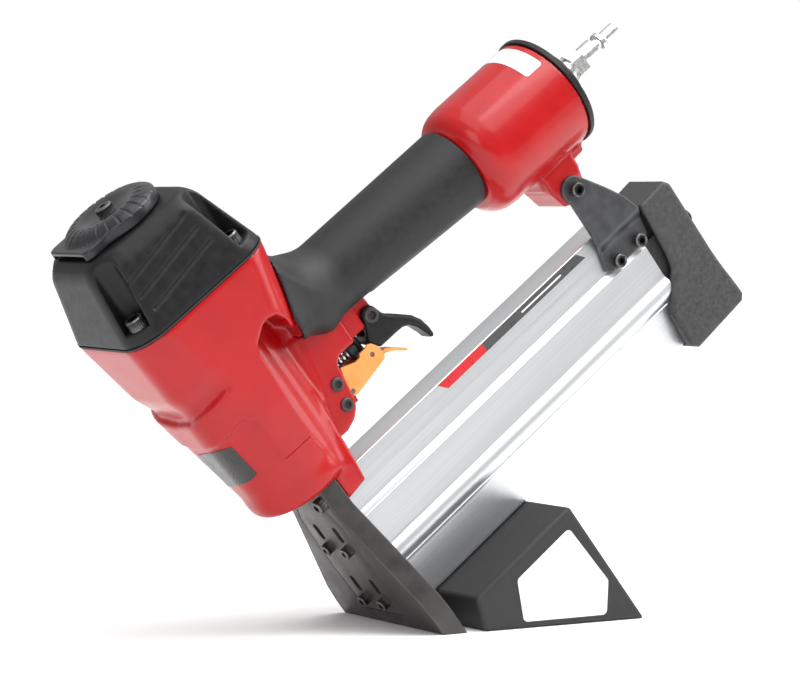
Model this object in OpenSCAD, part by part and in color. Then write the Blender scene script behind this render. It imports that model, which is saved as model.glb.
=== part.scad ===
// Pneumatic flooring nailer: drive axis raked back, magazine behind the nose,
// adjustable foot under the magazine. The origin is where the drive axis
// meets the floor. Inside tool_axes() +Z runs up the drive axis and +X runs
// along the magazine, away from the nose.

/* [Stance] */
// Angle of the magazine above the floor
rake = 38; // [35:1:41]

/* [Nose] */
// Front face of the nose, ahead of the drive axis
nose_front = 3.5; // [3:0.1:5]
// Rear face of the nose, behind the drive axis
nose_rear = 9; // [8:0.5:11]
// Width of the nose at the sole
nose_w = 108; // [96:1:120]
// Width of the nose where it meets the housing
nose_top_w = 49; // [47:1:52]
// Width of the front cover
cover_w = 44; // [40:1:48]
// Thickness of the front cover
cover_t = 2.3; // [2:0.1:3]
// Spacing of the cover screws across the nose
cover_screw_y = 21; // [18:0.5:24]
// Spacing of the cover screws along the nose
cover_screw_z = 38; // [32:1:42]

/* [Magazine] */
// Length of the magazine extrusion
mag_len = 244; // [200:1:300]
// Height of the magazine extrusion
mag_h = 89; // [84:1:96]
// Width of the magazine over its lower walls
mag_w = 26; // [24:0.5:30]
// Width of the narrow top strip of the magazine
mag_top_w = 21; // [19:0.5:23]
// Wall thickness of the extrusion
mag_wall = 2.2; // [1.8:0.1:2.6]
// Width over the two half-round ridges
ridge_w = 33; // [31:0.5:35]

/* [Barrel and cap] */
// Bore of the cylinder sleeve
bore_d = 50; // [44:1:54]
// Wall thickness of the cylinder sleeve
sleeve_wall = 3; // [2:0.5:4]
// Stroke of the piston
stroke = 88; // [70:1:92]
// Height of the barrel rim above the origin, along the drive axis
rim_z = 235; // [225:1:250]
// Height of the cap
cap_h = 48; // [44:1:54]
// Half spacing of the cap bolts along the magazine direction
cap_bolt_x = 35; // [34:0.5:36]
// Half spacing of the cap bolts across
cap_bolt_y = 34; // [33:0.5:35]
// Radius of the exhaust deflector disc
deflector_r = 28; // [24:0.5:30]

/* [Handle and reservoir] */
// Outside radius of the air reservoir
res_r = 34.5; // [32:0.5:38]
// Length of the straight part of the reservoir
res_len = 62; // [50:1:75]
// Radius of the grip at its front
grip_r1 = 22; // [21:0.5:24]
// Radius of the grip at the reservoir
grip_r2 = 25; // [23:0.5:27]
// Thickness of the rubber grip
grip_t = 3; // [2:0.5:4]

/* [Foot] */
// Width of the adjustable foot
foot_w = 110; // [90:1:120]
// Distance from the drive axis to the rear face of the foot
foot_rear = 101.5; // [90:0.5:115]
// Travel of the foot along the magazine
foot_travel = 16; // [10:1:20]

/* [Rear guard] */
// Width of the rear guard over its side walls
guard_w = 36; // [34:0.5:40]
// Wall thickness of the rear guard
guard_wall = 3; // [2:0.5:4]

/* [Clearances] */
// Radial clearance of a turning or sliding round fit
fit = 0.05; // [0.02:0.01:0.1]
// Gap between sliding faces
slide_gap = 0.3; // [0.2:0.05:0.5]

/* [Hidden] */
$fn = 64;
smooth = 32;
eps = 0.01;

// drive line
blade_t = 2.2;
blade_w = 8;
bore_r = bore_d / 2;
sleeve_r = bore_r + sleeve_wall;
barrel_z = 102;
floor_t = 6;
sleeve_z = barrel_z + floor_t;
bumper_h = 14;
bumper_top = sleeve_z + bumper_h;
piston_h = 12;
piston_z = bumper_top + stroke;
sleeve_top = piston_z + piston_h + 4;
blade_tip = 90;
channel_x = blade_t / 2 + 0.1;
channel_y = blade_w / 2 + 0.1;

// barrel outline: [lowest x, highest x, half width, corner radius] at three heights
rim_box = [-46.5, 51, 45.5, 20];
waist_box = [-37.5, 40, 40, 30];
hem_box = [-30, 30, 31, 29];
waist_z = 160;
hem_z = 112;
cavity = 36;
cavity_r = 22;
cavity_z = 172;

// cap
gasket_t = 1;
cap_z = rim_z + gasket_t;
cap_top = rim_z + cap_h;
cap_top_box = [-39, 39, 38, 20];
cap_bevel = 7;
cap_cavity_r = 35;
cap_roof = 15;
bolt_seat = cap_z + 7;
m6_r = 3;
m6_head_r = 5;
m6_head_h = 6;
valve_r = cap_cavity_r - 0.3;
valve_seat = sleeve_top + 0.3;
valve_h = 12;
valve_lift = 6;
deflector_z = cap_top + 0.4;
deflector_h = 10;
port_r = 14;
bridge_w = 11;

// handle and reservoir axes
res_z = 174.8;
res_x1 = 257.7;
res_x0 = res_x1 - res_len;
res_wall = 3.5;
neck_x = 184.2;
handle_z1 = 181.6;
handle_z2 = 178.2;
handle_x1 = 78;
tube_r1 = grip_r1 - grip_t;
tube_r2 = grip_r2 - grip_t;
handle_tilt = atan((handle_z1 - handle_z2) / (neck_x - handle_x1));
handle_len = (neck_x - handle_x1) / cos(handle_tilt);
duct_r = 14;
plug_thread_r = 6.6;
plug_neck = 5.8;
cap_rim_t = 3.5;

// web and trigger group
web_t = 28;
tongue_t = 8;
tab_w = 10;
step_t = 18;
trigger_x = 88.2;
trigger_z = 149.9;
trigger_t = 15;
trigger_pin_r = 2.5;
lever_x = 52.8;
lever_z = 125.2;
lever_pin_r = 1.5;
lever_wall = 1.5;
lever_in = 8.3;
web_low = 147.4;
stem_x = 74.5;
stem_r = 2;
stem_low = 135.3;
valve_body_r = 5.5;
roller_x = 74.6;
roller_z = 133.3;
spring_x = 53.6;
spring_len = 13;
spring_z = 139.8;
spring_r = 4.2;
pin_spots = [[45.5, 136.4], [43.5, 123.8]];

// magazine
mag_z0 = 5;
mag_z1 = mag_z0 + mag_h;
mag_x0 = nose_rear;
mag_x1 = mag_x0 + mag_len;
strip_z = mag_z0 + 65;
ridge_z = mag_z0 + 33.5;
ridge_r = 8;
ridge_y = ridge_w / 2 - ridge_r;
m5_r = 2.5;
m5_head_r = 4.25;
m5_head_h = 5;
m4_r = 2;
m4_head_r = 3.5;
m4_head_h = 4;
screw_y = ridge_y + 1.5;
mag_screw_seat = m5_head_h - 0.1;
nail_slot = 2.7;
nail_low = ridge_z;
nail_high = mag_z1 - 9;
rail_wall = 1.5;
rail_y = nail_slot / 2 + rail_wall;
pusher_len = 34;
slot_open = 6.4;
slot_depth = 4;

// bracket and lug
plate_t = 3;
lug_t = 29;
lug_bolt = [231.5, 125.5];
mag_bolts = [[232.3, 73.5], [250.6, 74]];
guard_x1 = mag_x1 + 33.5;
tail_x0 = mag_x1 - 12;

// foot
foot_top = mag_z0 - slide_gap;
foot_front = 24;
foot_toe = 17.5;
clamp_x = [52, 86];

function floor_z(x) = -x * tan(rake);

// ---- placing helpers ----
module tool_axes() rotate([0, -rake, 0]) children();
module side_plate(t) rotate([90, 0, 0]) linear_extrude(t, center = true) children();
module along_mag(len) rotate([90, 0, 90]) linear_extrude(len) children();
module rod_x(x, y, z, r, len) translate([x, y, z]) rotate([0, 90, 0]) cylinder(r = r, h = len);
module rod_y(x, z, r, len) translate([x, 0, z]) rotate([90, 0, 0]) cylinder(r = r, h = len, center = true);
module both_sides() { children(); mirror([0, 1, 0]) children(); }
module turned_x(x, z) translate([x, 0, z]) rotate([0, 90, 0]) rotate_extrude() children();

module rounded(b) {
  r = b[3];
  translate([b[0] + r, -b[2]]) square([b[1] - b[0] - 2 * r, 2 * b[2]]);
  translate([b[0], -b[2] + r]) square([b[1] - b[0], 2 * (b[2] - r)]);
  for (x = [b[0] + r, b[1] - r], y = [-1, 1]) translate([x, y * (b[2] - r)]) circle(r);
}

module slice(b, z) translate([0, 0, z]) linear_extrude(eps) rounded(b, $fn = smooth);

module cap_screw(shaft_r, len, head_r, head_h, socket_r) {
  translate([0, 0, -len]) cylinder(r = shaft_r, h = len + eps);
  difference() {
    cylinder(r = head_r, h = head_h);
    translate([0, 0, head_h * 0.45]) cylinder(r = socket_r, h = head_h, $fn = 6);
  }
}

// a round-wire compression spring along +Z
module coil(r, wire, len, turns, sides = 8, steps = 18) {
  n = turns * steps;
  rise = len - 2 * wire;
  ring = [for (i = [0:n]) let (a = 360 * i / steps, z = wire + rise * i / n)
    [for (k = [0:sides - 1]) let (b = 360 * k / sides, q = r + wire * cos(b))
      [q * cos(a), q * sin(a), z + wire * sin(b)]]];
  points = [for (loop = ring) each loop];
  walls = [for (i = [0:n - 1], k = [0:sides - 1]) let (j = (k + 1) % sides)
    [i * sides + k, (i + 1) * sides + k, (i + 1) * sides + j, i * sides + j]];
  ends = [[for (k = [0:sides - 1]) k], [for (k = [sides - 1:-1:0]) n * sides + k]];
  polyhedron(points, concat(walls, ends), convexity = 8);
}

module ring(r, wire, z) translate([0, 0, z]) rotate_extrude() translate([r, 0]) circle(wire, $fn = 24);

// ---- housing ----
module barrel_outside() {
  hull() { slice(rim_box, rim_z - eps); slice(waist_box, waist_z); }
  hull() { slice(waist_box, waist_z); slice(hem_box, hem_z); }
  hull() { slice(hem_box, hem_z); translate([0, 0, barrel_z]) cylinder(r = 25, h = eps, $fn = smooth); }
}

module handle_cone(r1, r2) {
  translate([handle_x1, 0, handle_z1]) rotate([0, 90 + handle_tilt, 0]) cylinder(r1 = r1, r2 = r2, h = handle_len);
}

// flared root of the handle; inset shrinks it by the thickness of the grip
module handle_root(inset) {
  hull() {
    translate([40, -34 + inset, 172 + inset]) cube([eps, 68 - 2 * inset, 56 - 2 * inset]);
    translate([49 - inset, -29 + inset, 168 + inset]) cube([eps, 58 - 2 * inset, 62 - 2 * inset]);
    translate([60, 0, handle_z1 + 2]) rotate([0, 90, 0]) cylinder(r = 28 - inset, h = eps, $fn = smooth);
  }
  hull() {
    translate([60, 0, handle_z1 + 2]) rotate([0, 90, 0]) cylinder(r = 28 - inset, h = eps, $fn = smooth);
    translate([handle_x1, 0, handle_z1]) rotate([0, 90, 0]) cylinder(r = grip_r1 - inset, h = eps, $fn = smooth);
  }
}

module reservoir_outside() {
  turned_x(0, res_z) polygon([
    [0, neck_x - 8], [tube_r2 - 4.5, neck_x - 8], [tube_r2 - 4.5, neck_x], [grip_r2, neck_x],
    [grip_r2 + 2, neck_x + 1], [res_r - 3, neck_x + 5], [res_r - 1, neck_x + 9],
    [res_r, res_x0 + 4], [res_r, res_x1], [0, res_x1]]);
}

module web_outline() polygon([
  [20, 112], [36, 111.5], [43, 114], [47.5, 118], [50, 122.5], [50.6, 127], [52.4, 140.3],
  [53.2, 144.6], [57, web_low], [69, web_low], [69, 172], [20, 172]]);

module step_and_tongue() {
  side_plate(step_t) translate([60, web_low]) square([21, 26]);
  side_plate(tongue_t) polygon([[78, 163], [78, web_low], [82, 144.5], [86, 144.6], [91, 147], [93, 151], [92, 163]]);
}

module housing() color([0.78, 0.07, 0.09]) tool_axes() difference() {
  union() {
    barrel_outside();
    handle_root(grip_t);
    handle_cone(tube_r1, tube_r2);
    reservoir_outside();
    // web, slotted on both sides for the walls of the safety lever
    difference() {
      side_plate(web_t) web_outline();
      both_sides() translate([49.5, lever_in - 0.4, 110]) cube([9, lever_wall + 0.8, 37.4]);
    }
    side_plate(2 * lever_in - 0.8) {
      translate([44, 118]) square([9.5, 30]);
      translate([lever_x, lever_z]) circle(3.7);
    }
    step_and_tongue();
    // prongs that carry the nose and straddle the magazine
    side_plate(nose_top_w) polygon([[nose_rear, 86], [24, 88], [33, 160], [nose_rear, 160]]);
    // lug for the rear bracket
    side_plate(20) polygon([[219, 150], [219, 134], [255, 136], [255, 150]]);
    side_plate(lug_t) {
      polygon([[219.5, 142], [219.5, 131], [223, 120], [241, 122], [244.5, 134], [244.5, 142]]);
      translate(lug_bolt) circle(8.5);
    }
  }
  // chamber round the sleeve, and its seat in the barrel floor
  translate([0, 0, sleeve_z]) cylinder(r = sleeve_r + fit, h = rim_z);
  translate([0, 0, cavity_z]) linear_extrude(rim_z) rounded([-cavity, cavity, cavity, cavity_r]);
  translate([-channel_x, -channel_y, 80]) cube([2 * channel_x, 2 * channel_y, 40]);
  // air duct from the reservoir, and the hollow of the reservoir
  rod_x(20, 0, 180, duct_r, neck_x);
  turned_x(0, res_z) polygon([[0, neck_x + 4], [grip_r2 - 3, neck_x + 4], [res_r - res_wall, neck_x + 12],
    [res_r - res_wall, res_x1 + 1], [0, res_x1 + 1]]);
  // slot for the magazine between the prongs
  translate([nose_rear - 1, -ridge_w / 2 - slide_gap, 60])
    cube([60, ridge_w + 2 * slide_gap, mag_z1 + slide_gap - 60]);
  for (x = [-cap_bolt_x, cap_bolt_x], y = [-cap_bolt_y, cap_bolt_y])
    translate([x, y, rim_z - 20]) cylinder(r = m6_r + fit, h = 30);
  for (p = pin_spots) rod_y(p[0], p[1], 2.5 + fit, web_t + 2);
  // valve pocket, trigger pin and lever pin holes
  translate([stem_x, 0, web_low - 1]) cylinder(r = valve_body_r + fit, h = 20);
  rod_y(trigger_x, trigger_z, trigger_pin_r + fit, web_t + 2);
  rod_y(lever_x, lever_z, lever_pin_r + fit, web_t + 2);
  both_sides() rod_x(nose_rear - 1, 20.3, 94, m5_r + fit, 13);
  rod_y(lug_bolt[0], lug_bolt[1], m5_r + fit, lug_t + 2);
}

// ---- head of the tool ----
module cylinder_cap() color([0.13, 0.13, 0.14]) tool_axes() difference() {
  union() {
    hull() { slice(rim_box, cap_z); slice(cap_top_box, cap_top - cap_bevel); }
    hull() {
      slice(cap_top_box, cap_top - cap_bevel);
      translate([0, 0, cap_top - eps]) linear_extrude(eps) rounded([-32, 32, 31, 14], $fn = smooth);
    }
  }
  translate([0, 0, cap_z - 1]) cylinder(r = cap_cavity_r, h = cap_h - cap_roof + 1);
  // exhaust ports on both sides of the bridge that takes the deflector screw
  difference() {
    translate([0, 0, cap_z]) cylinder(r = port_r, h = cap_h);
    translate([-port_r, -bridge_w / 2, cap_z - 1]) cube([2 * port_r, bridge_w, cap_h + 2]);
  }
  translate([0, 0, cap_z]) cylinder(r = m6_r + fit, h = cap_h);
  for (x = [-cap_bolt_x, cap_bolt_x], y = [-cap_bolt_y, cap_bolt_y]) translate([x, y, 0]) {
    translate([0, 0, cap_z - 1]) cylinder(r = m6_r + fit, h = 20);
    translate([0, 0, bolt_seat]) {
      cylinder(r = m6_head_r + 1.5, h = cap_h);
      rotate([0, 0, atan2(y, x)]) translate([0, -m6_head_r - 1.5, 0]) cube([20, 2 * m6_head_r + 3, cap_h]);
    }
  }
}

module cap_gasket() color([0.08, 0.08, 0.08]) tool_axes() difference() {
  translate([0, 0, rim_z]) linear_extrude(gasket_t) rounded(rim_box);
  cylinder(r = cap_cavity_r, h = cap_z + 1);
  for (x = [-cap_bolt_x, cap_bolt_x], y = [-cap_bolt_y, cap_bolt_y])
    translate([x, y, 0]) cylinder(r = m6_r + fit, h = cap_z + 1);
}

module cap_bolts() color([0.15, 0.15, 0.16]) tool_axes()
  for (x = [-cap_bolt_x, cap_bolt_x], y = [-cap_bolt_y, cap_bolt_y])
    translate([x, y, bolt_seat]) cap_screw(m6_r, bolt_seat - rim_z + 18, m6_head_r, m6_head_h, 2.9);

module exhaust_deflector() color([0.2, 0.2, 0.21]) tool_axes() difference() {
  union() {
    translate([0, 0, deflector_z]) cylinder(r = deflector_r, h = deflector_h - 3);
    translate([0, 0, deflector_z + deflector_h - 3]) cylinder(r1 = deflector_r, r2 = deflector_r - 6, h = 3);
    translate([-32, -23, deflector_z]) cube([32, 46, 6]);
  }
  // hollow that turns the exhaust to the front
  translate([0, 0, deflector_z - 1]) cylinder(r = deflector_r - 5, h = 5);
  translate([-33, -19, deflector_z - 1]) cube([33, 38, 4]);
  translate([0, 0, deflector_z + 7]) cylinder(r1 = 7, r2 = 13, h = 4);
  cylinder(r = m6_r + fit, h = 400);
}

module deflector_screw() color([0.12, 0.12, 0.12]) tool_axes()
  translate([0, 0, deflector_z + 7.2]) cap_screw(m6_r, 18, m6_head_r, 4.5, 2);

// ---- cylinder, piston and head valve ----
module cylinder_sleeve() color([0.75, 0.76, 0.78]) tool_axes() difference() {
  translate([0, 0, sleeve_z]) cylinder(r = sleeve_r, h = sleeve_top - sleeve_z);
  translate([0, 0, sleeve_z - 1]) cylinder(r = bore_r, h = sleeve_top);
  // return-air holes low in the sleeve, and grooves for its rings
  for (a = [20:60:320]) rotate([0, 0, a]) rod_x(0, 0, bumper_top + 6, 1.5, sleeve_r + 2);
  for (z = [sleeve_z + 4, sleeve_z + 9]) ring(sleeve_r - 1.15, 1.2, z);
}

module sleeve_o_rings() color([0.06, 0.06, 0.06]) tool_axes()
  for (z = [sleeve_z + 4, sleeve_z + 9]) ring(sleeve_r - 1.15, 1.15, z);

module piston() color([0.7, 0.71, 0.73]) tool_axes() difference() {
  translate([0, 0, piston_z]) cylinder(r = bore_r - fit, h = piston_h);
  ring(bore_r - 1.62, 1.65, piston_z + piston_h / 2);
  translate([0, 0, piston_z + 4]) cylinder(r = bore_r - 7, h = piston_h);
  translate([-blade_t / 2, -blade_w / 2, piston_z - 1]) cube([blade_t, blade_w, 4]);
}

module piston_o_ring() color([0.06, 0.06, 0.06]) tool_axes() ring(bore_r - 1.62, 1.55, piston_z + piston_h / 2);

module driver_blade() color([0.6, 0.61, 0.63]) tool_axes()
  translate([-blade_t / 2, -blade_w / 2, blade_tip]) cube([blade_t, blade_w, piston_z + 3 - blade_tip]);

module bumper() color([0.1, 0.1, 0.1]) tool_axes() difference() {
  translate([0, 0, sleeve_z]) cylinder(r = bore_r - 1, h = bumper_h);
  cylinder(r = 7, h = bumper_top + 1);
}

module head_valve() color([0.85, 0.85, 0.82]) tool_axes() difference() {
  union() {
    translate([0, 0, valve_seat]) cylinder(r = sleeve_r + 1, h = rim_z + 3 - valve_seat);
    translate([0, 0, rim_z + 2]) cylinder(r = valve_r, h = valve_h);
  }
  ring(valve_r - 1.3, 1.62, rim_z + 8);
  translate([0, 0, rim_z + 6]) cylinder(r = valve_r - 8, h = valve_h);
  translate([0, 0, valve_seat - 1]) cylinder(r = bore_r - 10, h = 40);
}

module head_valve_o_ring() color([0.06, 0.06, 0.06]) tool_axes() ring(valve_r - 1.3, 1.55, rim_z + 8);

module head_valve_spring() color([0.7, 0.7, 0.72]) tool_axes()
  translate([0, 0, rim_z + 6.1]) coil(valve_r - 12, 1.2, cap_top - cap_roof - rim_z - 6.2, 3, 6, 20);

// ---- handle and air inlet ----
module grip_sleeve() color([0.2, 0.2, 0.21]) tool_axes() difference() {
  union() {
    handle_root(0);
    handle_cone(grip_r1, grip_r2);
  }
  handle_root(grip_t);
  handle_cone(tube_r1, tube_r2);
  barrel_outside();
  translate([neck_x, 0, res_z]) rotate([0, 90, 0]) cylinder(r = 60, h = 40);
  // cut-out over the web
  side_plate(web_t) polygon([[20, 100], [60, 100], [96, 100], [96, 161.2], [75, 161.7], [66, 163.7],
    [57, 166.3], [42, 167], [20, 167]]);
  side_plate(web_t) web_outline();
  step_and_tongue();
}

module reservoir_cap() color([0.11, 0.11, 0.12]) tool_axes() difference() {
  union() {
    rod_x(res_x1, 0, res_z, res_r + 1.2, cap_rim_t);
    rod_x(res_x1 - 8, 0, res_z, res_r - res_wall - fit, 9);
    rod_x(res_x1 + cap_rim_t - eps, 0, res_z, 14, 11.5, $fn = 6);
  }
  turned_x(0, res_z) translate([res_r - res_wall - 1.28, res_x1 - 4]) circle(1.33, $fn = 24);
  rod_x(res_x1 - 20, 0, res_z, plug_thread_r + fit, 60);
  rod_x(res_x1 - 10, 0, res_z, res_r - res_wall - 4, 9);
}

module reservoir_o_ring() color([0.06, 0.06, 0.06]) tool_axes()
  turned_x(0, res_z) translate([res_r - res_wall - 1.28, res_x1 - 4]) circle(1.25, $fn = 24);

module air_plug() color([0.86, 0.86, 0.85]) tool_axes() {
  x0 = res_x1 + cap_rim_t + 11.5 + plug_neck;
  difference() {
    union() {
      rod_x(x0 - 10 - plug_neck, 0, res_z, plug_thread_r, 12 + plug_neck);
      rod_x(x0 + 2, 0, res_z, 9.2, 8, $fn = 6);
      rod_x(x0 + 9, 0, res_z, 6, 13);
      rod_x(x0 + 21, 0, res_z, 3.9, 6);
      turned_x(x0 + 25, res_z) polygon([[0, 0], [3.9, 0], [5.8, 1.5], [5.8, 4], [3.95, 6], [3.95, 16], [0, 16]]);
    }
    rod_x(x0 - 12 - plug_neck, 0, res_z, 2.6, 60);
  }
}

module reservoir_label() color([0.92, 0.92, 0.92]) tool_axes()
  translate([res_x1 - 24, 0, res_z]) rotate([0, 90, 0]) rotate([0, 0, 152])
    rotate_extrude(angle = 76) translate([res_r + 0.02, 0]) square([0.35, 21]);

// ---- trigger valve, trigger and safety lever ----
module valve_body() color([0.75, 0.6, 0.3]) tool_axes() difference() {
  translate([stem_x, 0, web_low]) cylinder(r = valve_body_r, h = 18.5);
  translate([stem_x, 0, web_low - 1]) cylinder(r = stem_r + fit, h = 30);
  translate([stem_x, 0, web_low + 5]) cylinder(r = 4, h = 30);
}

module valve_stem() color([0.15, 0.15, 0.16]) tool_axes() {
  translate([stem_x, 0, stem_low]) cylinder(r = stem_r, h = web_low + 6 - stem_low);
  translate([stem_x, 0, web_low + 5.3]) cylinder(r = 3.6, h = 2);
}

module valve_spring() color([0.7, 0.7, 0.72]) tool_axes()
  translate([stem_x, 0, web_low + 7.4]) coil(2.8, 0.4, 11, 4, 6, 12);

module trigger_outline() polygon(concat(
  [for (a = [170:-10:10]) [trigger_x + 5.5 * cos(a), trigger_z + 5.5 * sin(a)]],
  [[95, 146.5], [97.6, 142.9], [102.5, 139.3], [109.7, 132.5], [113, 127], [114.6, 120.5],
    [114.7, 115.8], [113.6, 114.3], [112, 114.9], [110.8, 118.8], [108.4, 124.8], [104.4, 129.6], [100.5, 131.2],
    [96.5, 131.5], [83.6, 131.6], [82.7, 131.9], [78.2, 137.2], [78, 138.8], [81.4, 145.4]]));

module trigger() color([0.12, 0.12, 0.13]) tool_axes() difference() {
  side_plate(trigger_t) trigger_outline();
  // fork round the tongue of the web
  translate([70, -tongue_t / 2 - slide_gap, 141.5]) cube([30, tongue_t + 2 * slide_gap, 20]);
  // channel that the finger tab of the safety lever rises into
  translate([70, -tab_w / 2 - slide_gap, 120]) cube([26.5, tab_w + 2 * slide_gap, 18.5]);
  rod_y(trigger_x, trigger_z, trigger_pin_r + fit, trigger_t + 2);
  // finger side narrows towards the tip
  both_sides() translate([98, trigger_t / 2, 100]) rotate([0, 0, -4]) cube([30, 10, 60]);
}

module trigger_pin() color([0.1, 0.1, 0.1]) tool_axes() {
  rod_y(trigger_x, trigger_z, trigger_pin_r, trigger_t + 1);
  both_sides() translate([trigger_x, trigger_t / 2 + 0.2, trigger_z]) rotate([-90, 0, 0]) cylinder(r = 4.4, h = 1.2);
}

module trigger_spring() color([0.65, 0.65, 0.67]) tool_axes()
  translate([trigger_x - 4, 0, 141.6]) coil(1.5, 0.3, 2.8, 2, 6, 10);

module lever_outline() polygon([
  [51.2, 125], [52.2, 122.6], [54.6, 122.2], [60, 123], [79.4, 126.6], [81, 129.2], [80, 135.2], [77.6, 138.6],
  [75.4, 139.5], [72.6, 138.6], [68.9, 138.6], [67.4, 136.8], [64, 136.6], [54.4, 140.2], [52.6, 133]]);

module safety_lever() color([0.95, 0.5, 0.1]) tool_axes() difference() {
  union() {
    both_sides() translate([0, lever_in + lever_wall, 0]) rotate([90, 0, 0]) linear_extrude(lever_wall)
      lever_outline();
    // floor that joins the walls and runs out as the finger tab
    side_plate(2 * lever_in + eps) polygon([[60, 123], [79.4, 126.6], [81, 129], [79.8, 129.4], [78.8, 128],
      [60, 124.6]]);
    side_plate(tab_w) polygon([[79, 126.9], [84, 126.6], [88.5, 124.4], [95.4, 118.8], [96.4, 119.8],
      [89.4, 126], [85, 128.6], [80.6, 129.2]]);
  }
  rod_y(lever_x, lever_z, lever_pin_r + fit, 2 * lever_in + 2 * lever_wall + 2);
  rod_y(roller_x, roller_z, lever_pin_r + fit, 2 * lever_in + 2 * lever_wall + 2);
}

module lever_pin() color([0.1, 0.1, 0.1]) tool_axes()
  rod_y(lever_x, lever_z, lever_pin_r, 2 * lever_in + 2 * lever_wall);

module lever_roller() color([0.1, 0.1, 0.1]) tool_axes()
  rod_y(roller_x, roller_z, lever_pin_r, 2 * lever_in + 2 * lever_wall - 1);

module lever_spring() color([0.75, 0.75, 0.77]) tool_axes()
  translate([spring_x, 0, spring_z]) rotate([0, 90, 0]) coil(spring_r - 0.8, 0.8, spring_len, 4, 8, 16);

module lever_spring_seat() color([0.08, 0.08, 0.08]) tool_axes() {
  rod_x(spring_x + spring_len + 0.1, 0, spring_z, 4.8, 4.6);
  translate([spring_x + spring_len + 0.1, -lever_in, spring_z - 4.4]) cube([3.4, 2 * lever_in, 3]);
}

module web_pins() color([0.1, 0.1, 0.1]) tool_axes() for (p = pin_spots) {
  rod_y(p[0], p[1], 2.5, web_t + 1);
  both_sides() translate([p[0], web_t / 2, p[1]]) rotate([-90, 0, 0]) cylinder(r = 3.8, h = 1.6);
}

// ---- nose ----
module floor_cut() rotate([0, rake, 0]) translate([-200, -100, -100]) cube([400, 200, 100]);

module nose_outline(grow = 0) polygon([for (s = [-1, 1], p = s < 0
  ? [[nose_w / 2, -20], [nose_w / 2, 12], [nose_w / 2 - 2, 24], [nose_top_w / 2 + 1.5, 84], [nose_top_w / 2, barrel_z]]
  : [[nose_top_w / 2, barrel_z], [nose_top_w / 2 + 1.5, 84], [nose_w / 2 - 2, 24], [nose_w / 2, 12], [nose_w / 2, -20]])
  [s * p[0], p[1]]]);

module cover_outline() polygon([for (s = [-1, 1], p = s < 0
  ? [[cover_w / 2 - 2, 12], [cover_w / 2 + 2, 44], [cover_w / 2, 78], [cover_w / 2 - 6, 88], [cover_w / 2 - 6, 99]]
  : [[cover_w / 2 - 6, 99], [cover_w / 2 - 6, 88], [cover_w / 2, 78], [cover_w / 2 + 2, 44], [cover_w / 2 - 2, 12]])
  [s * p[0], p[1]]]);

module nose_base() color([0.14, 0.14, 0.15]) tool_axes() difference() {
  translate([-nose_front, 0, 0]) along_mag(nose_front + nose_rear) nose_outline();
  floor_cut();
  // seat of the cover, drive channel and nail slot
  translate([-nose_front - 1, 0, 0]) along_mag(cover_t + 1) cover_outline();
  translate([-channel_x, -channel_y, -30]) cube([2 * channel_x, 2 * channel_y, 200]);
  translate([0, -nail_slot / 2, nail_low]) cube([30, nail_slot, nail_high - nail_low]);
  for (y = [-1, 1], z = [-1, 1])
    rod_x(-nose_front, y * cover_screw_y / 2, 39.5 + z * cover_screw_z / 2, m4_r + fit, 11);
  both_sides() {
    rod_x(-nose_front - 1, 20.3, 94, m5_r + fit, 20);
    rod_x(-nose_front - 1, screw_y, ridge_z, m5_r + fit, 20);
    rod_x(-nose_front - 1, screw_y, ridge_z, m5_head_r + 0.3, mag_screw_seat + nose_front + 1);
  }
}

module nose_cover() color([0.16, 0.16, 0.17]) tool_axes() difference() {
  translate([-nose_front, 0, 0]) along_mag(cover_t) cover_outline();
  for (y = [-1, 1], z = [-1, 1]) {
    rod_x(-nose_front - 1, y * cover_screw_y / 2, 39.5 + z * cover_screw_z / 2, m4_r + fit, 8);
    for (s = [0, 6]) rod_x(-nose_front - 1, y * cover_screw_y / 2, 47.5 + s + z * cover_screw_z / 2, 2.6, 2.2);
    translate([-nose_front - 1, y * cover_screw_y / 2 - 2.6, 47.5 + z * cover_screw_z / 2]) cube([2.2, 5.2, 6]);
  }
}

module cover_screws() color([0.1, 0.1, 0.1]) tool_axes() for (y = [-1, 1], z = [-1, 1])
  translate([-nose_front, y * cover_screw_y / 2, 39.5 + z * cover_screw_z / 2]) rotate([0, -90, 0])
    cap_screw(m4_r, 10, m4_head_r, m4_head_h, 1.7);

module nose_bolts() color([0.12, 0.12, 0.14]) tool_axes() both_sides()
  translate([-nose_front, 20.3, 94]) rotate([0, -90, 0]) cap_screw(m5_r, nose_front + nose_rear + 10, m5_head_r,
    m5_head_h, 2.3);

// ---- magazine ----
module mag_outline() {
  translate([-mag_w / 2, mag_z0]) square([mag_w, strip_z - 4 - mag_z0]);
  translate([-mag_top_w / 2, mag_z0]) square([mag_top_w, mag_h]);
  polygon([[-mag_w / 2, strip_z - 5], [mag_w / 2, strip_z - 5], [mag_top_w / 2, strip_z], [-mag_top_w / 2, strip_z]]);
  for (s = [-1, 1]) translate([s * ridge_y, ridge_z]) circle(ridge_r);
}

module mag_hollow() {
  y = mag_top_w / 2 - mag_wall;
  translate([-y, ridge_z + 10]) square([2 * y, mag_z1 - mag_wall - ridge_z - 10]);
  translate([-rail_y - slide_gap, ridge_z - 5]) square([2 * (rail_y + slide_gap), 20]);
  for (s = [-1, 1]) translate([s * 7.6 - 3.2, mag_z0 + slot_depth + 3.6]) square([6.4, 13]);
}

module t_slot() {
  translate([-slot_open / 2, mag_z0 - 1]) square([slot_open, slot_depth + 1]);
  translate([-5.5, mag_z0 + 1.4]) square([11, slot_depth - 1.4]);
}

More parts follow.
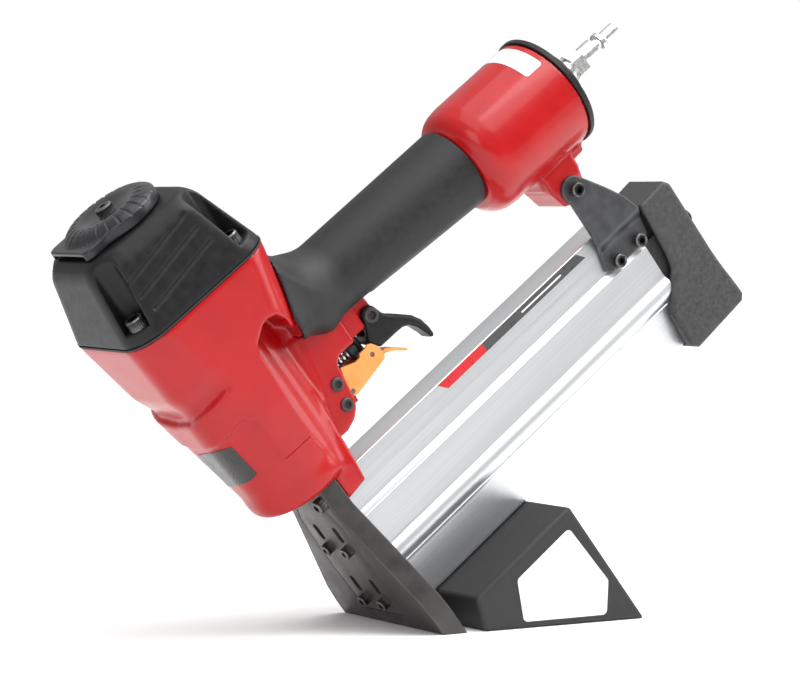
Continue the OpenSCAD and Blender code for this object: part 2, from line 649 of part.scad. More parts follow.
module magazine() color([0.78, 0.79, 0.81]) tool_axes() difference() {
  translate([mag_x0, 0, 0]) along_mag(mag_len) difference() {
    mag_outline();
    mag_hollow();
    t_slot();
  }
  both_sides() {
    rod_x(mag_x0 - 1, screw_y, ridge_z, m5_r + fit, 22);
    rod_x(mag_x1 - 21, screw_y, ridge_z, m5_r + fit, 22);
  }
  for (b = mag_bolts) translate([b[0], -mag_w / 2 - 1, b[1]]) rotate([-90, 0, 0]) cylinder(r = m4_r + fit, h = 8);
}

module magazine_front_screws() color([0.12, 0.12, 0.12]) tool_axes() both_sides()
  translate([mag_screw_seat, screw_y, ridge_z]) rotate([0, -90, 0])
    cap_screw(m5_r, 20, m5_head_r, m5_head_h, 2.3);

module nail_rail() color([0.62, 0.63, 0.65]) tool_axes()
  translate([mag_x0 + 0.2, 0, 0]) along_mag(mag_len - 12.6) difference() {
    translate([-rail_y, ridge_z - 4.8]) square([2 * rail_y, nail_high - ridge_z + 3]);
    translate([-nail_slot / 2, ridge_z - 3.2]) square([nail_slot, mag_h]);
  }

module pusher() color([0.16, 0.16, 0.17]) tool_axes() {
  x = mag_x0 + 1;
  top = mag_z1 - mag_wall - slide_gap;
  outer = mag_top_w / 2 - mag_wall - slide_gap;
  translate([x, 0, 0]) difference() {
    along_mag(pusher_len) {
      translate([-outer, nail_high - 1.5]) square([2 * outer, top - nail_high + 1.5]);
      for (s = [-1, 1]) translate([s > 0 ? rail_y + slide_gap : -outer, nail_high - 26])
        square([outer - rail_y - slide_gap, 26]);
      translate([-nail_slot / 2 + slide_gap, ridge_z - 2.9]) square([nail_slot - 2 * slide_gap, nail_high - ridge_z + 2]);
    }
    // well for the roll spring
    translate([20, rail_y + slide_gap + 0.6, nail_high - 12]) rotate([-90, 0, 0]) cylinder(r = 8.2, h = 20);
  }
}

module pusher_roll_pin() color([0.6, 0.6, 0.62]) tool_axes()
  translate([mag_x0 + 21, rail_y + slide_gap + 0.6, nail_high - 12]) rotate([-90, 0, 0]) cylinder(r = 1.5, h = 3);

module pusher_spring() color([0.75, 0.75, 0.78]) tool_axes()
  translate([mag_x0 + 21, rail_y + slide_gap + 0.7, nail_high - 12]) rotate([-90, 0, 0]) difference() {
    cylinder(r = 7.6, h = 2.7);
    translate([0, 0, -1]) cylinder(r = 1.5 + fit, h = 6);
  }

module magazine_label() color([0.55, 0.1, 0.12]) tool_axes()
  translate([0, -mag_top_w / 2 - 0.15, mag_z1]) side_plate(0.3)
    polygon([[96, -0.8], [100.5, -6.4], [217.5, -6.4], [213, -0.8]]);

// ---- rear end of the magazine ----
module guard_outline() polygon([
  [mag_x1 - 14, 4.6], [mag_x1 - 12, 27], [mag_x1 + 5.3, 48.6], [mag_x1 + 7.2, 58.5], [mag_x1 + 8, 74.3],
  [mag_x1 + 9, 90], [guard_x1 - 3, 91.4], [guard_x1, 87.4], [guard_x1, 24], [guard_x1, 6.4], [guard_x1 - 3, 2.8],
  [mag_x1 - 10, 0.9]]);

module guard_hollow() polygon([
  [mag_x1 - 20, 3.8], [mag_x1 - 20, 88.2], [guard_x1 - 4, 88.2], [guard_x1 - 3, 86.5], [guard_x1 - 3, 7],
  [guard_x1 - 4.5, 5.6], [mag_x1 - 10, 3.8]]);

module flare(t, dz) {
  hull() {
    translate([mag_x1 - 13 + dz, -t, 3.2 + dz]) cube([guard_x1 - mag_x1 + 13 - 2 * dz, 2 * t, 8]);
    translate([mag_x1 - 12.5 + dz, -t + 4.5, 20]) cube([guard_x1 - mag_x1 + 12.5 - 2 * dz, 2 * t - 9, 2]);
  }
}

module rear_guard() color([0.15, 0.15, 0.15]) tool_axes() difference() {
  union() {
    side_plate(guard_w) guard_outline();
    flare(guard_w / 2 + 4.5, 0);
  }
  side_plate(guard_w - 2 * guard_wall) guard_hollow();
  translate([mag_x1 - 30, -guard_w / 2 + guard_wall, 3.8]) cube([guard_x1 - mag_x1 + 27, guard_w - 2 * guard_wall, 17]);
  // loading slot in line with the nail rail
  translate([mag_x1, -nail_slot / 2 - 0.3, nail_low]) cube([60, nail_slot + 0.6, nail_high - nail_low]);
  both_sides() {
    rod_x(mag_x1, screw_y, ridge_z + 24, m5_r + fit, 60);
    rod_x(mag_x1 - 30, ridge_y, ridge_z, ridge_r + slide_gap, 30 + slide_gap);
  }
}

module tail_block() color([0.09, 0.09, 0.1]) tool_axes() difference() {
  union() {
    translate([mag_x1, -mag_w / 2, mag_z0 + 3]) cube([guard_x1 - 3 - mag_x1, mag_w, mag_h - 12]);
    translate([tail_x0, -mag_top_w / 2 + mag_wall + slide_gap, ridge_z + 10 + slide_gap])
      cube([14, mag_top_w - 2 * mag_wall - 2 * slide_gap, mag_h - 54]);
  }
  translate([tail_x0 - 1, -nail_slot / 2 - 0.3, nail_low]) cube([60, nail_slot + 0.6, 60]);
  both_sides() {
    translate([mag_x1 - 1, mag_top_w / 2, strip_z - 1]) cube([60, mag_w, mag_h]);
    rod_x(mag_x1 - 1, screw_y, ridge_z, m5_r + fit, 60);
    rod_x(mag_x1 + 9, screw_y, ridge_z, m5_head_r + 0.3, 60);
    rod_x(mag_x1 + 16, screw_y, ridge_z + 24, m5_r + fit, 60);
  }
}

module guard_screws() color([0.12, 0.12, 0.12]) tool_axes() both_sides() {
  translate([mag_x1 + 9, screw_y, ridge_z]) rotate([0, 90, 0]) cap_screw(m5_r, 26, m5_head_r, m5_head_h, 2.3);
  translate([guard_x1, screw_y, ridge_z + 24]) rotate([0, 90, 0]) cap_screw(m5_r, 14, m5_head_r, 2.8, 2.3);
}

module rear_bracket() color([0.2, 0.2, 0.21]) tool_axes() difference() {
  y_low = mag_top_w / 2;
  y_top = lug_t / 2;
  union() {
    translate([0, -y_top - plate_t / 2, 0]) side_plate(plate_t) union() {
      polygon([[225, 120], [225.4, 89], [261, 90], [257, 101], [250, 113], [240, 128]]);
      translate(lug_bolt) circle(8.2);
    }
    // joggle that steps in from the lug to the top strip of the magazine
    translate([225.4, 0, 0]) along_mag(35.6) polygon([[-y_top - plate_t, 90.5], [-y_top, 89], [-y_low - slide_gap, 83.5],
      [-y_low - slide_gap, 81], [-y_low - plate_t, 82], [-y_low - plate_t, 83.5]]);
    translate([0, -y_low - plate_t / 2, 0]) side_plate(plate_t)
      polygon([[222.5, 73], [225.5, strip_z], [254, strip_z], [259, 73], [261, 83.5], [225.4, 83.5]]);
  }
  rod_y(lug_bolt[0], lug_bolt[1], m5_r + fit, 60);
  for (b = mag_bolts) rod_y(b[0], b[1], m4_r + fit, 60);
}

module bracket_bolts() color([0.12, 0.12, 0.12]) tool_axes() {
  translate([lug_bolt[0], -lug_t / 2 - plate_t, lug_bolt[1]]) rotate([90, 0, 0])
    cap_screw(m5_r, 24, m5_head_r, m5_head_h, 2.3);
  for (b = mag_bolts) translate([b[0], -mag_top_w / 2 - plate_t, b[1]]) rotate([90, 0, 0])
    cap_screw(m4_r, plate_t + mag_wall - 0.2, m4_head_r + 0.6, m4_head_h + 0.6, 1.9);
}

// ---- foot ----
module foot_outline() polygon([[foot_front, foot_top], [foot_rear, foot_top], [foot_rear, floor_z(foot_rear)],
  [foot_toe, floor_z(foot_toe)]]);

module foot() color([0.13, 0.13, 0.13]) tool_axes() difference() {
  side_plate(foot_w) foot_outline();
  for (x = clamp_x) {
    translate([x, 0, -200]) cylinder(r = m5_r + 0.4, h = 260);
    translate([x, 0, -200]) cylinder(r = m5_head_r + 0.6, h = 196);
  }
}

module foot_label_outline() hull() for (p = [[90.5, -7.5], [92.5, -44], [82.5, -55.5], [43, -25], [52, -7.5]])
  translate(p) circle(3, $fn = smooth);

module foot_labels() color([0.93, 0.94, 0.94]) tool_axes()
  both_sides() translate([0, -foot_w / 2, 0]) rotate([90, 0, 0]) linear_extrude(0.3) foot_label_outline();

module foot_clamp_screws() color([0.12, 0.12, 0.12]) tool_axes() for (x = clamp_x)
  translate([x, 0, -4 - eps]) rotate([180, 0, 0]) cap_screw(m5_r, 12, m5_head_r, m5_head_h, 2.3);

module foot_t_nuts() color([0.7, 0.7, 0.72]) tool_axes() for (x = clamp_x) difference() {
  translate([x - 6, -5, mag_z0 + 1.8]) cube([12, 10, 1.8]);
  translate([x, 0, mag_z0]) cylinder(r = m5_r, h = 10);
}

housing();
cylinder_cap();
cap_gasket();
cap_bolts();
exhaust_deflector();
deflector_screw();
cylinder_sleeve();
sleeve_o_rings();
piston();
piston_o_ring();
driver_blade();
bumper();
head_valve();
head_valve_o_ring();
head_valve_spring();
grip_sleeve();
reservoir_cap();
reservoir_o_ring();
air_plug();
reservoir_label();
valve_body();
valve_stem();
valve_spring();
trigger();
trigger_pin();
trigger_spring();
safety_lever();
lever_pin();
lever_roller();
lever_spring();
lever_spring_seat();
web_pins();
nose_base();
nose_cover();
cover_screws();
nose_bolts();
magazine();
magazine_front_screws();
nail_rail();
pusher();
pusher_spring();
pusher_roll_pin();
tail_block();
rear_guard();
guard_screws();
magazine_label();
rear_bracket();
bracket_bolts();
foot();
foot_labels();
foot_clamp_screws();
foot_t_nuts();
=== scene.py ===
import math

import bmesh
import bpy
import numpy as np
from mathutils import Matrix, Vector


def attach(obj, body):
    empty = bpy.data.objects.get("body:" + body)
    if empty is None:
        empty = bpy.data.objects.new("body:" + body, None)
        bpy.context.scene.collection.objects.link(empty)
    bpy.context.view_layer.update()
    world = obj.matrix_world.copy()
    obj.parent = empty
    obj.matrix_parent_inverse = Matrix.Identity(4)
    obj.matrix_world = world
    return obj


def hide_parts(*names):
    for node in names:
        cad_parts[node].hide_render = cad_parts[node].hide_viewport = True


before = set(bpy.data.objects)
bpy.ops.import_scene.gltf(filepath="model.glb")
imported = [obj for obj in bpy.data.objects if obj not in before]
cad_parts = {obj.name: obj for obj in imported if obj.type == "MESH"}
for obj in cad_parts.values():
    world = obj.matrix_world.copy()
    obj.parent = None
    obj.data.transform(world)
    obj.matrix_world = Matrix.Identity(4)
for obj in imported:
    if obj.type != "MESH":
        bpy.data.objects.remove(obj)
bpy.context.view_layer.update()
print("frame loaded:", len(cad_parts), "nodes")

# The tool's own axes, in millimetres: x along the magazine, z up the drive axis, -y the near side.
rake = math.radians(38)
place = Matrix.Rotation(-rake, 4, "Y") @ Matrix.Scale(0.001, 4)
upTurn = (0, -rake, 0)
frontTurn = (0, -rake - math.pi / 2, 0)
rearTurn = (0, math.pi / 2 - rake, 0)
sideTurn = (math.pi / 2, 0, 0)


# ---- finishes ----
def newFinish(name, low, high, rough, roughSpread=0.05, metallic=0.0, grain=120, stretch=(1, 1, 1), detail=4,
              bump=0.0, bumpGrain=900, bumpDepth=0.0002, coat=0.0, coatRough=0.06, edgeWearAndSheen=0.0,
              edgeWearAndSheenColour=(0.5, 0.5, 0.5), specular=0.5, bumpStretch=(1, 1, 1)):
    material = bpy.data.materials.new(name)
    material.use_nodes = True
    tree = material.node_tree
    nodes, links = tree.nodes, tree.links
    shader = nodes["Principled BSDF"]
    shader.inputs["Metallic"].default_value = metallic
    shader.inputs["Coat Weight"].default_value = coat
    shader.inputs["Coat Roughness"].default_value = coatRough
    shader.inputs["Specular IOR Level"].default_value = specular
    where = nodes.new("ShaderNodeTexCoord")
    turned = nodes.new("ShaderNodeMapping")
    turned.inputs["Rotation"].default_value = (0, rake, 0)
    links.new(where.outputs["Object"], turned.inputs["Vector"])

    def noiseAt(scale, stretched, depth):
        sized = nodes.new("ShaderNodeMapping")
        sized.inputs["Scale"].default_value = [scale * s for s in stretched]
        links.new(turned.outputs["Vector"], sized.inputs["Vector"])
        noise = nodes.new("ShaderNodeTexNoise")
        noise.inputs["Scale"].default_value = 1.0
        noise.inputs["Detail"].default_value = depth
        links.new(sized.outputs["Vector"], noise.inputs["Vector"])
        return noise.outputs["Fac"]

    tone = noiseAt(grain, stretch, detail)
    ramp = nodes.new("ShaderNodeValToRGB")
    ramp.color_ramp.elements[0].position = 0.3
    ramp.color_ramp.elements[0].color = (*low, 1)
    ramp.color_ramp.elements[1].position = 0.7
    ramp.color_ramp.elements[1].color = (*high, 1)
    links.new(tone, ramp.inputs["Fac"])
    colour = ramp.outputs["Color"]
    # lighter colour on convex edges: real edge wear on most finishes, and a painted highlight on the
    # screw-head rims of screwSteel
    if edgeWearAndSheen:
        edges = nodes.new("ShaderNodeNewGeometry")
        edgeWearAndSheenMask = nodes.new("ShaderNodeMapRange")
        edgeWearAndSheenMask.inputs["From Min"].default_value = 0.53
        edgeWearAndSheenMask.inputs["From Max"].default_value = 0.64
        edgeWearAndSheenMask.inputs["To Max"].default_value = edgeWearAndSheen
        links.new(edges.outputs["Pointiness"], edgeWearAndSheenMask.inputs["Value"])
        mixed = nodes.new("ShaderNodeMix")
        mixed.data_type = "RGBA"
        mixed.inputs[7].default_value = (*edgeWearAndSheenColour, 1)
        links.new(edgeWearAndSheenMask.outputs["Result"], mixed.inputs[0])
        links.new(colour, mixed.inputs[6])
        colour = mixed.outputs[2]
    links.new(colour, shader.inputs["Base Color"])
    spread = nodes.new("ShaderNodeMapRange")
    spread.inputs["From Min"].default_value = 0.3
    spread.inputs["From Max"].default_value = 0.7
    spread.inputs["To Min"].default_value = rough - roughSpread
    spread.inputs["To Max"].default_value = rough + roughSpread
    links.new(tone, spread.inputs["Value"])
    links.new(spread.outputs["Result"], shader.inputs["Roughness"])
    if bump:
        height = nodes.new("ShaderNodeBump")
        height.inputs["Strength"].default_value = bump
        height.inputs["Distance"].default_value = bumpDepth
        links.new(noiseAt(bumpGrain, bumpStretch, 3), height.inputs["Height"])
        links.new(height.outputs["Normal"], shader.inputs["Normal"])
    return material


redPaint = newFinish("redPaint", (0.34, 0.001, 0.003), (0.39, 0.002, 0.004), 0.32, 0.04, grain=60, bump=0.22,
                     bumpGrain=420, bumpDepth=0.00012, coat=0.3, coatRough=0.10, specular=0.25)
capBlack = newFinish("capBlack", (0.006, 0.006, 0.007), (0.011, 0.011, 0.012), 0.42, 0.05, grain=200,
                     bump=0.35, bumpGrain=1600, bumpDepth=0.00008, edgeWearAndSheen=0.3, edgeWearAndSheenColour=(0.05, 0.05, 0.05),
                     specular=0.25)
deflectorPlastic = newFinish("deflectorPlastic", (0.014, 0.014, 0.016), (0.022, 0.022, 0.025), 0.24, 0.04,
                             grain=150, bump=0.08, bumpGrain=1200, bumpDepth=0.00004, specular=0.35)
gripRubber = newFinish("gripRubber", (0.012, 0.012, 0.013), (0.019, 0.019, 0.020), 0.52, 0.05, grain=260,
                       bump=0.4, bumpGrain=2200, bumpDepth=0.00006, specular=0.28)
blackOxide = newFinish("blackOxide", (0.014, 0.013, 0.013), (0.026, 0.024, 0.023), 0.42, 0.08, metallic=0.5,
                       grain=180, bump=0.25, bumpGrain=1500, bumpDepth=0.00005, edgeWearAndSheen=0.6,
                       edgeWearAndSheenColour=(0.25, 0.24, 0.23))
# screwSteel: the full-strength pale edge colour paints a bright highlight ring on the screw-head rims
screwSteel = newFinish("screwSteel", (0.008, 0.008, 0.009), (0.019, 0.018, 0.018), 0.30, 0.08, metallic=0.6,
                       grain=500, bump=0.2, bumpGrain=2500, bumpDepth=0.00004, edgeWearAndSheen=1.0,
                       edgeWearAndSheenColour=(0.50, 0.49, 0.47))
noseSteel = newFinish("noseSteel", (0.045, 0.043, 0.042), (0.066, 0.063, 0.061), 0.40, 0.08, metallic=0.55,
                      grain=90, bump=0.3, bumpGrain=1400, bumpDepth=0.00006, edgeWearAndSheen=0.5,
                      edgeWearAndSheenColour=(0.22, 0.21, 0.2))
brightSteel = newFinish("brightSteel", (0.50, 0.50, 0.51), (0.62, 0.62, 0.63), 0.26, 0.06, metallic=1.0,
                        grain=300, bump=0.1, bumpGrain=2500, bumpDepth=0.00003)
springSteel = newFinish("springSteel", (0.34, 0.34, 0.35), (0.48, 0.48, 0.49), 0.28, 0.06, metallic=1.0,
                        grain=500, bump=0.1, bumpGrain=2500, bumpDepth=0.00003)
brushedAluminium = newFinish("brushedAluminium", (0.64, 0.655, 0.67), (0.70, 0.715, 0.73), 0.36, 0.03,
                             metallic=0.9, grain=900, stretch=(0.006, 1, 1), bump=0.12, bumpGrain=1700,
                             bumpDepth=0.00002, bumpStretch=(0.01, 1, 1))
bareAluminium = newFinish("bareAluminium", (0.48, 0.49, 0.50), (0.60, 0.61, 0.62), 0.38, 0.08, metallic=1.0,
                          grain=240, bump=0.3, bumpGrain=1400, bumpDepth=0.00006)
rubberBlack = newFinish("rubberBlack", (0.010, 0.010, 0.010), (0.017, 0.017, 0.017), 0.6, 0.06, grain=400,
                        bump=0.3, bumpGrain=2400, bumpDepth=0.00005)
whitePlastic = newFinish("whitePlastic", (0.62, 0.62, 0.58), (0.70, 0.70, 0.66), 0.4, 0.05, grain=220,
                         bump=0.2, bumpGrain=1800, bumpDepth=0.00004)
plugNickel = newFinish("plugNickel", (0.66, 0.66, 0.65), (0.74, 0.74, 0.73), 0.26, 0.05, metallic=1.0,
                       grain=380, bump=0.05, bumpGrain=2400, bumpDepth=0.00003)
brass = newFinish("brass", (0.50, 0.34, 0.12), (0.62, 0.44, 0.18), 0.3, 0.06, metallic=1.0, grain=380,
                  bump=0.1, bumpGrain=2400, bumpDepth=0.00003)
orangePaint = newFinish("orangePaint", (0.74, 0.17, 0.008), (0.84, 0.22, 0.014), 0.38, 0.05, grain=200,
                        bump=0.2, bumpGrain=1500, bumpDepth=0.00005, coat=0.3, coatRough=0.15, edgeWearAndSheen=0.35,
                        edgeWearAndSheenColour=(0.86, 0.48, 0.18))
guardCoat = newFinish("guardCoat", (0.020, 0.020, 0.021), (0.040, 0.040, 0.042), 0.48, 0.08, grain=420,
                      bump=0.7, bumpGrain=1500, bumpDepth=0.00025)
bracketCoat = newFinish("bracketCoat", (0.040, 0.041, 0.043), (0.056, 0.057, 0.060), 0.36, 0.06,
                        metallic=0.35, grain=160, bump=0.25, bumpGrain=1500, bumpDepth=0.00006, edgeWearAndSheen=0.4,
                        edgeWearAndSheenColour=(0.2, 0.19, 0.18))
footCharcoal = newFinish("footCharcoal", (0.011, 0.011, 0.012), (0.019, 0.019, 0.020), 0.6, 0.06, grain=300,
                         bump=0.5, bumpGrain=1400, bumpDepth=0.00012)
labelWhite = newFinish("labelWhite", (0.70, 0.71, 0.71), (0.77, 0.78, 0.78), 0.3, 0.04, grain=120, bump=0.05,
                       bumpGrain=900, bumpDepth=0.00003, coat=0.3, coatRough=0.2)
labelBlack = newFinish("labelBlack", (0.012, 0.012, 0.013), (0.020, 0.020, 0.022), 0.3, 0.05, grain=140,
                       bump=0.08, bumpGrain=900, bumpDepth=0.00003, coat=0.3, coatRough=0.2)
magazineLabelPrint = newFinish("magazineLabelPrint", (0.05, 0.05, 0.05), (0.06, 0.06, 0.06), 0.3, 0.05,
                               grain=120, bump=0.05, bumpGrain=900, bumpDepth=0.00003)


def printBands(material):
    # red lead-in, then a dark field with one thin pale stripe
    tree = material.node_tree
    nodes, links = tree.nodes, tree.links
    mappings = [n for n in nodes if n.bl_idname == "ShaderNodeMapping"]
    turned = [n for n in mappings if abs(n.inputs["Rotation"].default_value[1]) > 0.1][0]
    parts = nodes.new("ShaderNodeSeparateXYZ")
    links.new(turned.outputs["Vector"], parts.inputs["Vector"])

    def band(socket, low, high):
        above = nodes.new("ShaderNodeMath")
        above.operation = "GREATER_THAN"
        above.inputs[1].default_value = low
        below = nodes.new("ShaderNodeMath")
        below.operation = "LESS_THAN"
        below.inputs[1].default_value = high
        both = nodes.new("ShaderNodeMath")
        both.operation = "MULTIPLY"
        links.new(socket, above.inputs[0])
        links.new(socket, below.inputs[0])
        links.new(above.outputs[0], both.inputs[0])
        links.new(below.outputs[0], both.inputs[1])
        return both.outputs[0]

    def over(base, top, mask):
        mixed = nodes.new("ShaderNodeMix")
        mixed.data_type = "RGBA"
        links.new(mask, mixed.inputs[0])
        links.new(base, mixed.inputs[6])
        mixed.inputs[7].default_value = (*top, 1)
        return mixed.outputs[2]

    colour = [n for n in nodes if n.bl_idname == "ShaderNodeValToRGB"][0].outputs["Color"]
    colour = over(colour, (0.50, 0.01, 0.015), band(parts.outputs["X"], 0.0, 0.133))
    stripeLong = nodes.new("ShaderNodeMath")
    stripeLong.operation = "MULTIPLY"
    links.new(band(parts.outputs["X"], 0.1644, 0.198), stripeLong.inputs[0])
    links.new(band(parts.outputs["Z"], 0.0898, 0.0907), stripeLong.inputs[1])
    colour = over(colour, (0.8, 0.8, 0.8), stripeLong.outputs[0])
    links.new(colour, nodes["Principled BSDF"].inputs["Base Color"])


printBands(magazineLabelPrint)
print("finishes made")


# ---- making meshes ----
def addObject(name, mesh, material):
    made = bpy.data.objects.new(name, mesh)
    bpy.context.scene.collection.objects.link(made)
    mesh.materials.clear()
    mesh.materials.append(material)
    return made


def smoothBySharpness(mesh, degrees=35):
    for polygon in mesh.polygons:
        polygon.use_smooth = True
    mesh.set_sharp_from_angle(angle=math.radians(degrees))


def roundMax(a, b, k):
    gap = np.maximum(k - np.abs(a - b), 0) / k
    return np.maximum(a, b) + gap * gap * k * 0.25


def roundMin(a, b, k):
    gap = np.maximum(k - np.abs(a - b), 0) / k
    return np.minimum(a, b) - gap * gap * k * 0.25


def ease(value, low, high):
    t = np.clip((value - low) / (high - low), 0, 1)
    return t * t * (3 - 2 * t)


def polygonDistance(u, v, points):
    u, v = np.broadcast_arrays(np.asarray(u, float), np.asarray(v, float))
    best = np.full(u.shape, 1e9)
    flip = np.ones(u.shape)
    for (ax, ay), (bx, by) in zip(points, points[-1:] + points[:-1]):
        ex, ey = bx - ax, by - ay
        wx, wy = u - ax, v - ay
        t = np.clip((wx * ex + wy * ey) / (ex * ex + ey * ey), 0, 1)
        best = np.minimum(best, (wx - ex * t) ** 2 + (wy - ey * t) ** 2)
        first, second, third = v >= ay, v < by, ex * wy > ey * wx
        flip = np.where((first & second & third) | (~first & ~second & ~third), -flip, flip)
    return flip * np.sqrt(best)


def boxDistance(u, v, halfU, halfV, corner):
    qu, qv = np.abs(u) - (halfU - corner), np.abs(v) - (halfV - corner)
    return np.hypot(np.maximum(qu, 0), np.maximum(qv, 0)) + np.minimum(np.maximum(qu, qv), 0) - corner


def taper(z, heights, values, blur):
    return sum(np.interp(z + s * blur, heights, values) for s in (-1, -0.5, 0, 0.5, 1)) / 5


def surfaceNet(name, field, low, high, cell, material):
    counts = [int(math.ceil((high[k] - low[k]) / cell)) + 1 for k in range(3)]
    lines = [low[k] + cell * np.arange(counts[k]) for k in range(3)]
    grid = np.ascontiguousarray(np.broadcast_to(field(lines[0][:, None, None], lines[1][None, :, None],
                                                      lines[2][None, None, :]), counts), dtype=float)
    inside = grid < 0
    corners = [(a, b, c) for a in (0, 1) for b in (0, 1) for c in (0, 1)]
    total = sum(inside[a:counts[0] - 1 + a, b:counts[1] - 1 + b, c:counts[2] - 1 + c].astype(np.int8)
                for a, b, c in corners)
    active = (total > 0) & (total < 8)
    index = np.full(active.shape, -1, np.int64)
    cells = np.argwhere(active)
    index[active] = np.arange(len(cells))
    points, hits = np.zeros((len(cells), 3)), np.zeros(len(cells))
    for axis in range(3):
        step = np.eye(3, dtype=int)[axis]
        for corner in corners:
            if corner[axis]:
                continue
            start = cells + corner
            end = start + step
            g0, g1 = grid[tuple(start.T)], grid[tuple(end.T)]
            cut = (g0 < 0) != (g1 < 0)
            t = np.where(cut, g0 / np.where(cut, g0 - g1, 1), 0)
            points += np.where(cut[:, None], start + t[:, None] * step, 0)
            hits += cut
    points = np.array(low) + cell * points / hits[:, None]
    for _ in range(3):
        x, y, z = points.T
        value = field(x, y, z)
        h = 0.05
        slope = np.stack([field(x + h, y, z) - field(x - h, y, z), field(x, y + h, z) - field(x, y - h, z),
                          field(x, y, z + h) - field(x, y, z - h)], axis=1) / (2 * h)
        move = -slope * (value / np.maximum((slope ** 2).sum(1), 0.1))[:, None]
        size = np.linalg.norm(move, axis=1)
        points += move * np.minimum(1, 0.35 * cell / np.maximum(size, 1e-9))[:, None]
    quads = []
    for axis in range(3):
        step = np.eye(3, dtype=int)[axis]
        shape = [counts[k] - step[k] for k in range(3)]
        here = inside[:shape[0], :shape[1], :shape[2]]
        there = inside[step[0]:, step[1]:, step[2]:]
        edges = np.argwhere(here != there)
        side, other = [(1, 2), (2, 0), (0, 1)][axis]
        ok = (edges[:, side] > 0) & (edges[:, other] > 0)
        edges = edges[ok]
        ring = []
        for a, b in ((1, 1), (0, 1), (0, 0), (1, 0)):
            corner = edges.copy()
            corner[:, side] -= a
            corner[:, other] -= b
            ring.append(index[tuple(corner.T)])
        ring = np.stack(ring, axis=1)
        outward = here[tuple(edges.T)]
        quads.append(np.where(outward[:, None], ring, ring[:, ::-1]))
    quads = np.concatenate(quads)
    turn = np.array(place.to_3x3())
    mesh = bpy.data.meshes.new(name)
    mesh.vertices.add(len(points))
    mesh.vertices.foreach_set("co", (points @ turn.T).astype(np.float32).ravel())
    mesh.loops.add(quads.size)
    mesh.loops.foreach_set("vertex_index", quads.astype(np.int32).ravel())
    mesh.polygons.add(len(quads))
    mesh.polygons.foreach_set("loop_start", np.arange(0, quads.size, 4, dtype=np.int32))
    mesh.update(calc_edges=True)
    mesh.validate()
    smoothBySharpness(mesh, 50)
    print(name, len(quads) * 2, "triangles")
    return addObject(name, mesh, material)


def plate(name, outline, near, far, material, along="y", bevel=0.0, segments=3, sharp=35):
    work = bmesh.new()
    layers = []
    for depth in (near, far):
        ring = []
        for u, v in outline:
            spot = (u, depth, v) if along == "y" else ((depth, u, v) if along == "x" else (u, v, depth))
            ring.append(work.verts.new(place @ Vector(spot)))
        layers.append(ring)
    work.faces.new(layers[0])
    work.faces.new(layers[1][::-1])
    count = len(outline)
    for k in range(count):
        work.faces.new([layers[0][k], layers[1][k], layers[1][(k + 1) % count], layers[0][(k + 1) % count]])
    bmesh.ops.recalc_face_normals(work, faces=work.faces)
    mesh = bpy.data.meshes.new(name)
    work.to_mesh(mesh)
    work.free()
    made = addObject(name, mesh, material)
    if bevel:
        addBevel(made, bevel, segments)
    smoothBySharpness(mesh, sharp)
    return made


def addBevel(piece, width, segments=3, degrees=30):
    edge = piece.modifiers.new("edges", "BEVEL")
    edge.width = width * 0.001
    edge.segments = segments
    edge.limit_method = "ANGLE"
    edge.angle_limit = math.radians(degrees)
    edge.harden_normals = False


def bake(piece, sharp=35):
    bpy.context.view_layer.update()
    shown = piece.evaluated_get(bpy.context.evaluated_depsgraph_get())
    mesh = bpy.data.meshes.new_from_object(shown)
    piece.modifiers.clear()
    piece.data = mesh
    smoothBySharpness(mesh, sharp)
    return piece


def carve(piece, cutters, sharp=35):
    for cutter in cutters:
        cut = piece.modifiers.new("cut", "BOOLEAN")
        cut.operation = "DIFFERENCE"
        cut.solver = "EXACT"
        cut.object = cutter
    bake(piece, sharp)
    for cutter in cutters:
        bpy.data.objects.remove(cutter)
    return piece


def turnedPiece(name, profile, centre, direction, material, sides=64, sharp=35):
    # profile: (distance along the axis, radius) pairs, from axis to axis or in a closed loop
    aim = Vector(direction).to_track_quat("Z", "Y").to_matrix().to_4x4()
    work = bmesh.new()
    rings = []
    for along, radius in profile:
        if radius < 1e-6:
            rings.append([work.verts.new((0, 0, along))])
        else:
            rings.append([work.verts.new((radius * math.cos(2 * math.pi * k / sides),
                                          radius * math.sin(2 * math.pi * k / sides), along))
                          for k in range(sides)])
    for first, second in zip(rings, rings[1:]):
        for k in range(sides):
            n = (k + 1) % sides
            if len(first) == 1 and len(second) > 1:
                work.faces.new([first[0], second[n], second[k]])
            elif len(second) == 1 and len(first) > 1:
                work.faces.new([first[k], first[n], second[0]])
            elif len(first) > 1:
                work.faces.new([first[k], first[n], second[n], second[k]])
    bmesh.ops.remove_doubles(work, verts=work.verts, dist=0.001)
    bmesh.ops.recalc_face_normals(work, faces=work.faces)
    bmesh.ops.transform(work, matrix=place @ Matrix.Translation(centre) @ aim, verts=work.verts)
    mesh = bpy.data.meshes.new(name)
    work.to_mesh(mesh)
    work.free()
    smoothBySharpness(mesh, sharp)
    return addObject(name, mesh, material)


def fit(piece, body, slot, *nodes):
    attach(piece, body)
    if nodes:
        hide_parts(*nodes)
    return piece


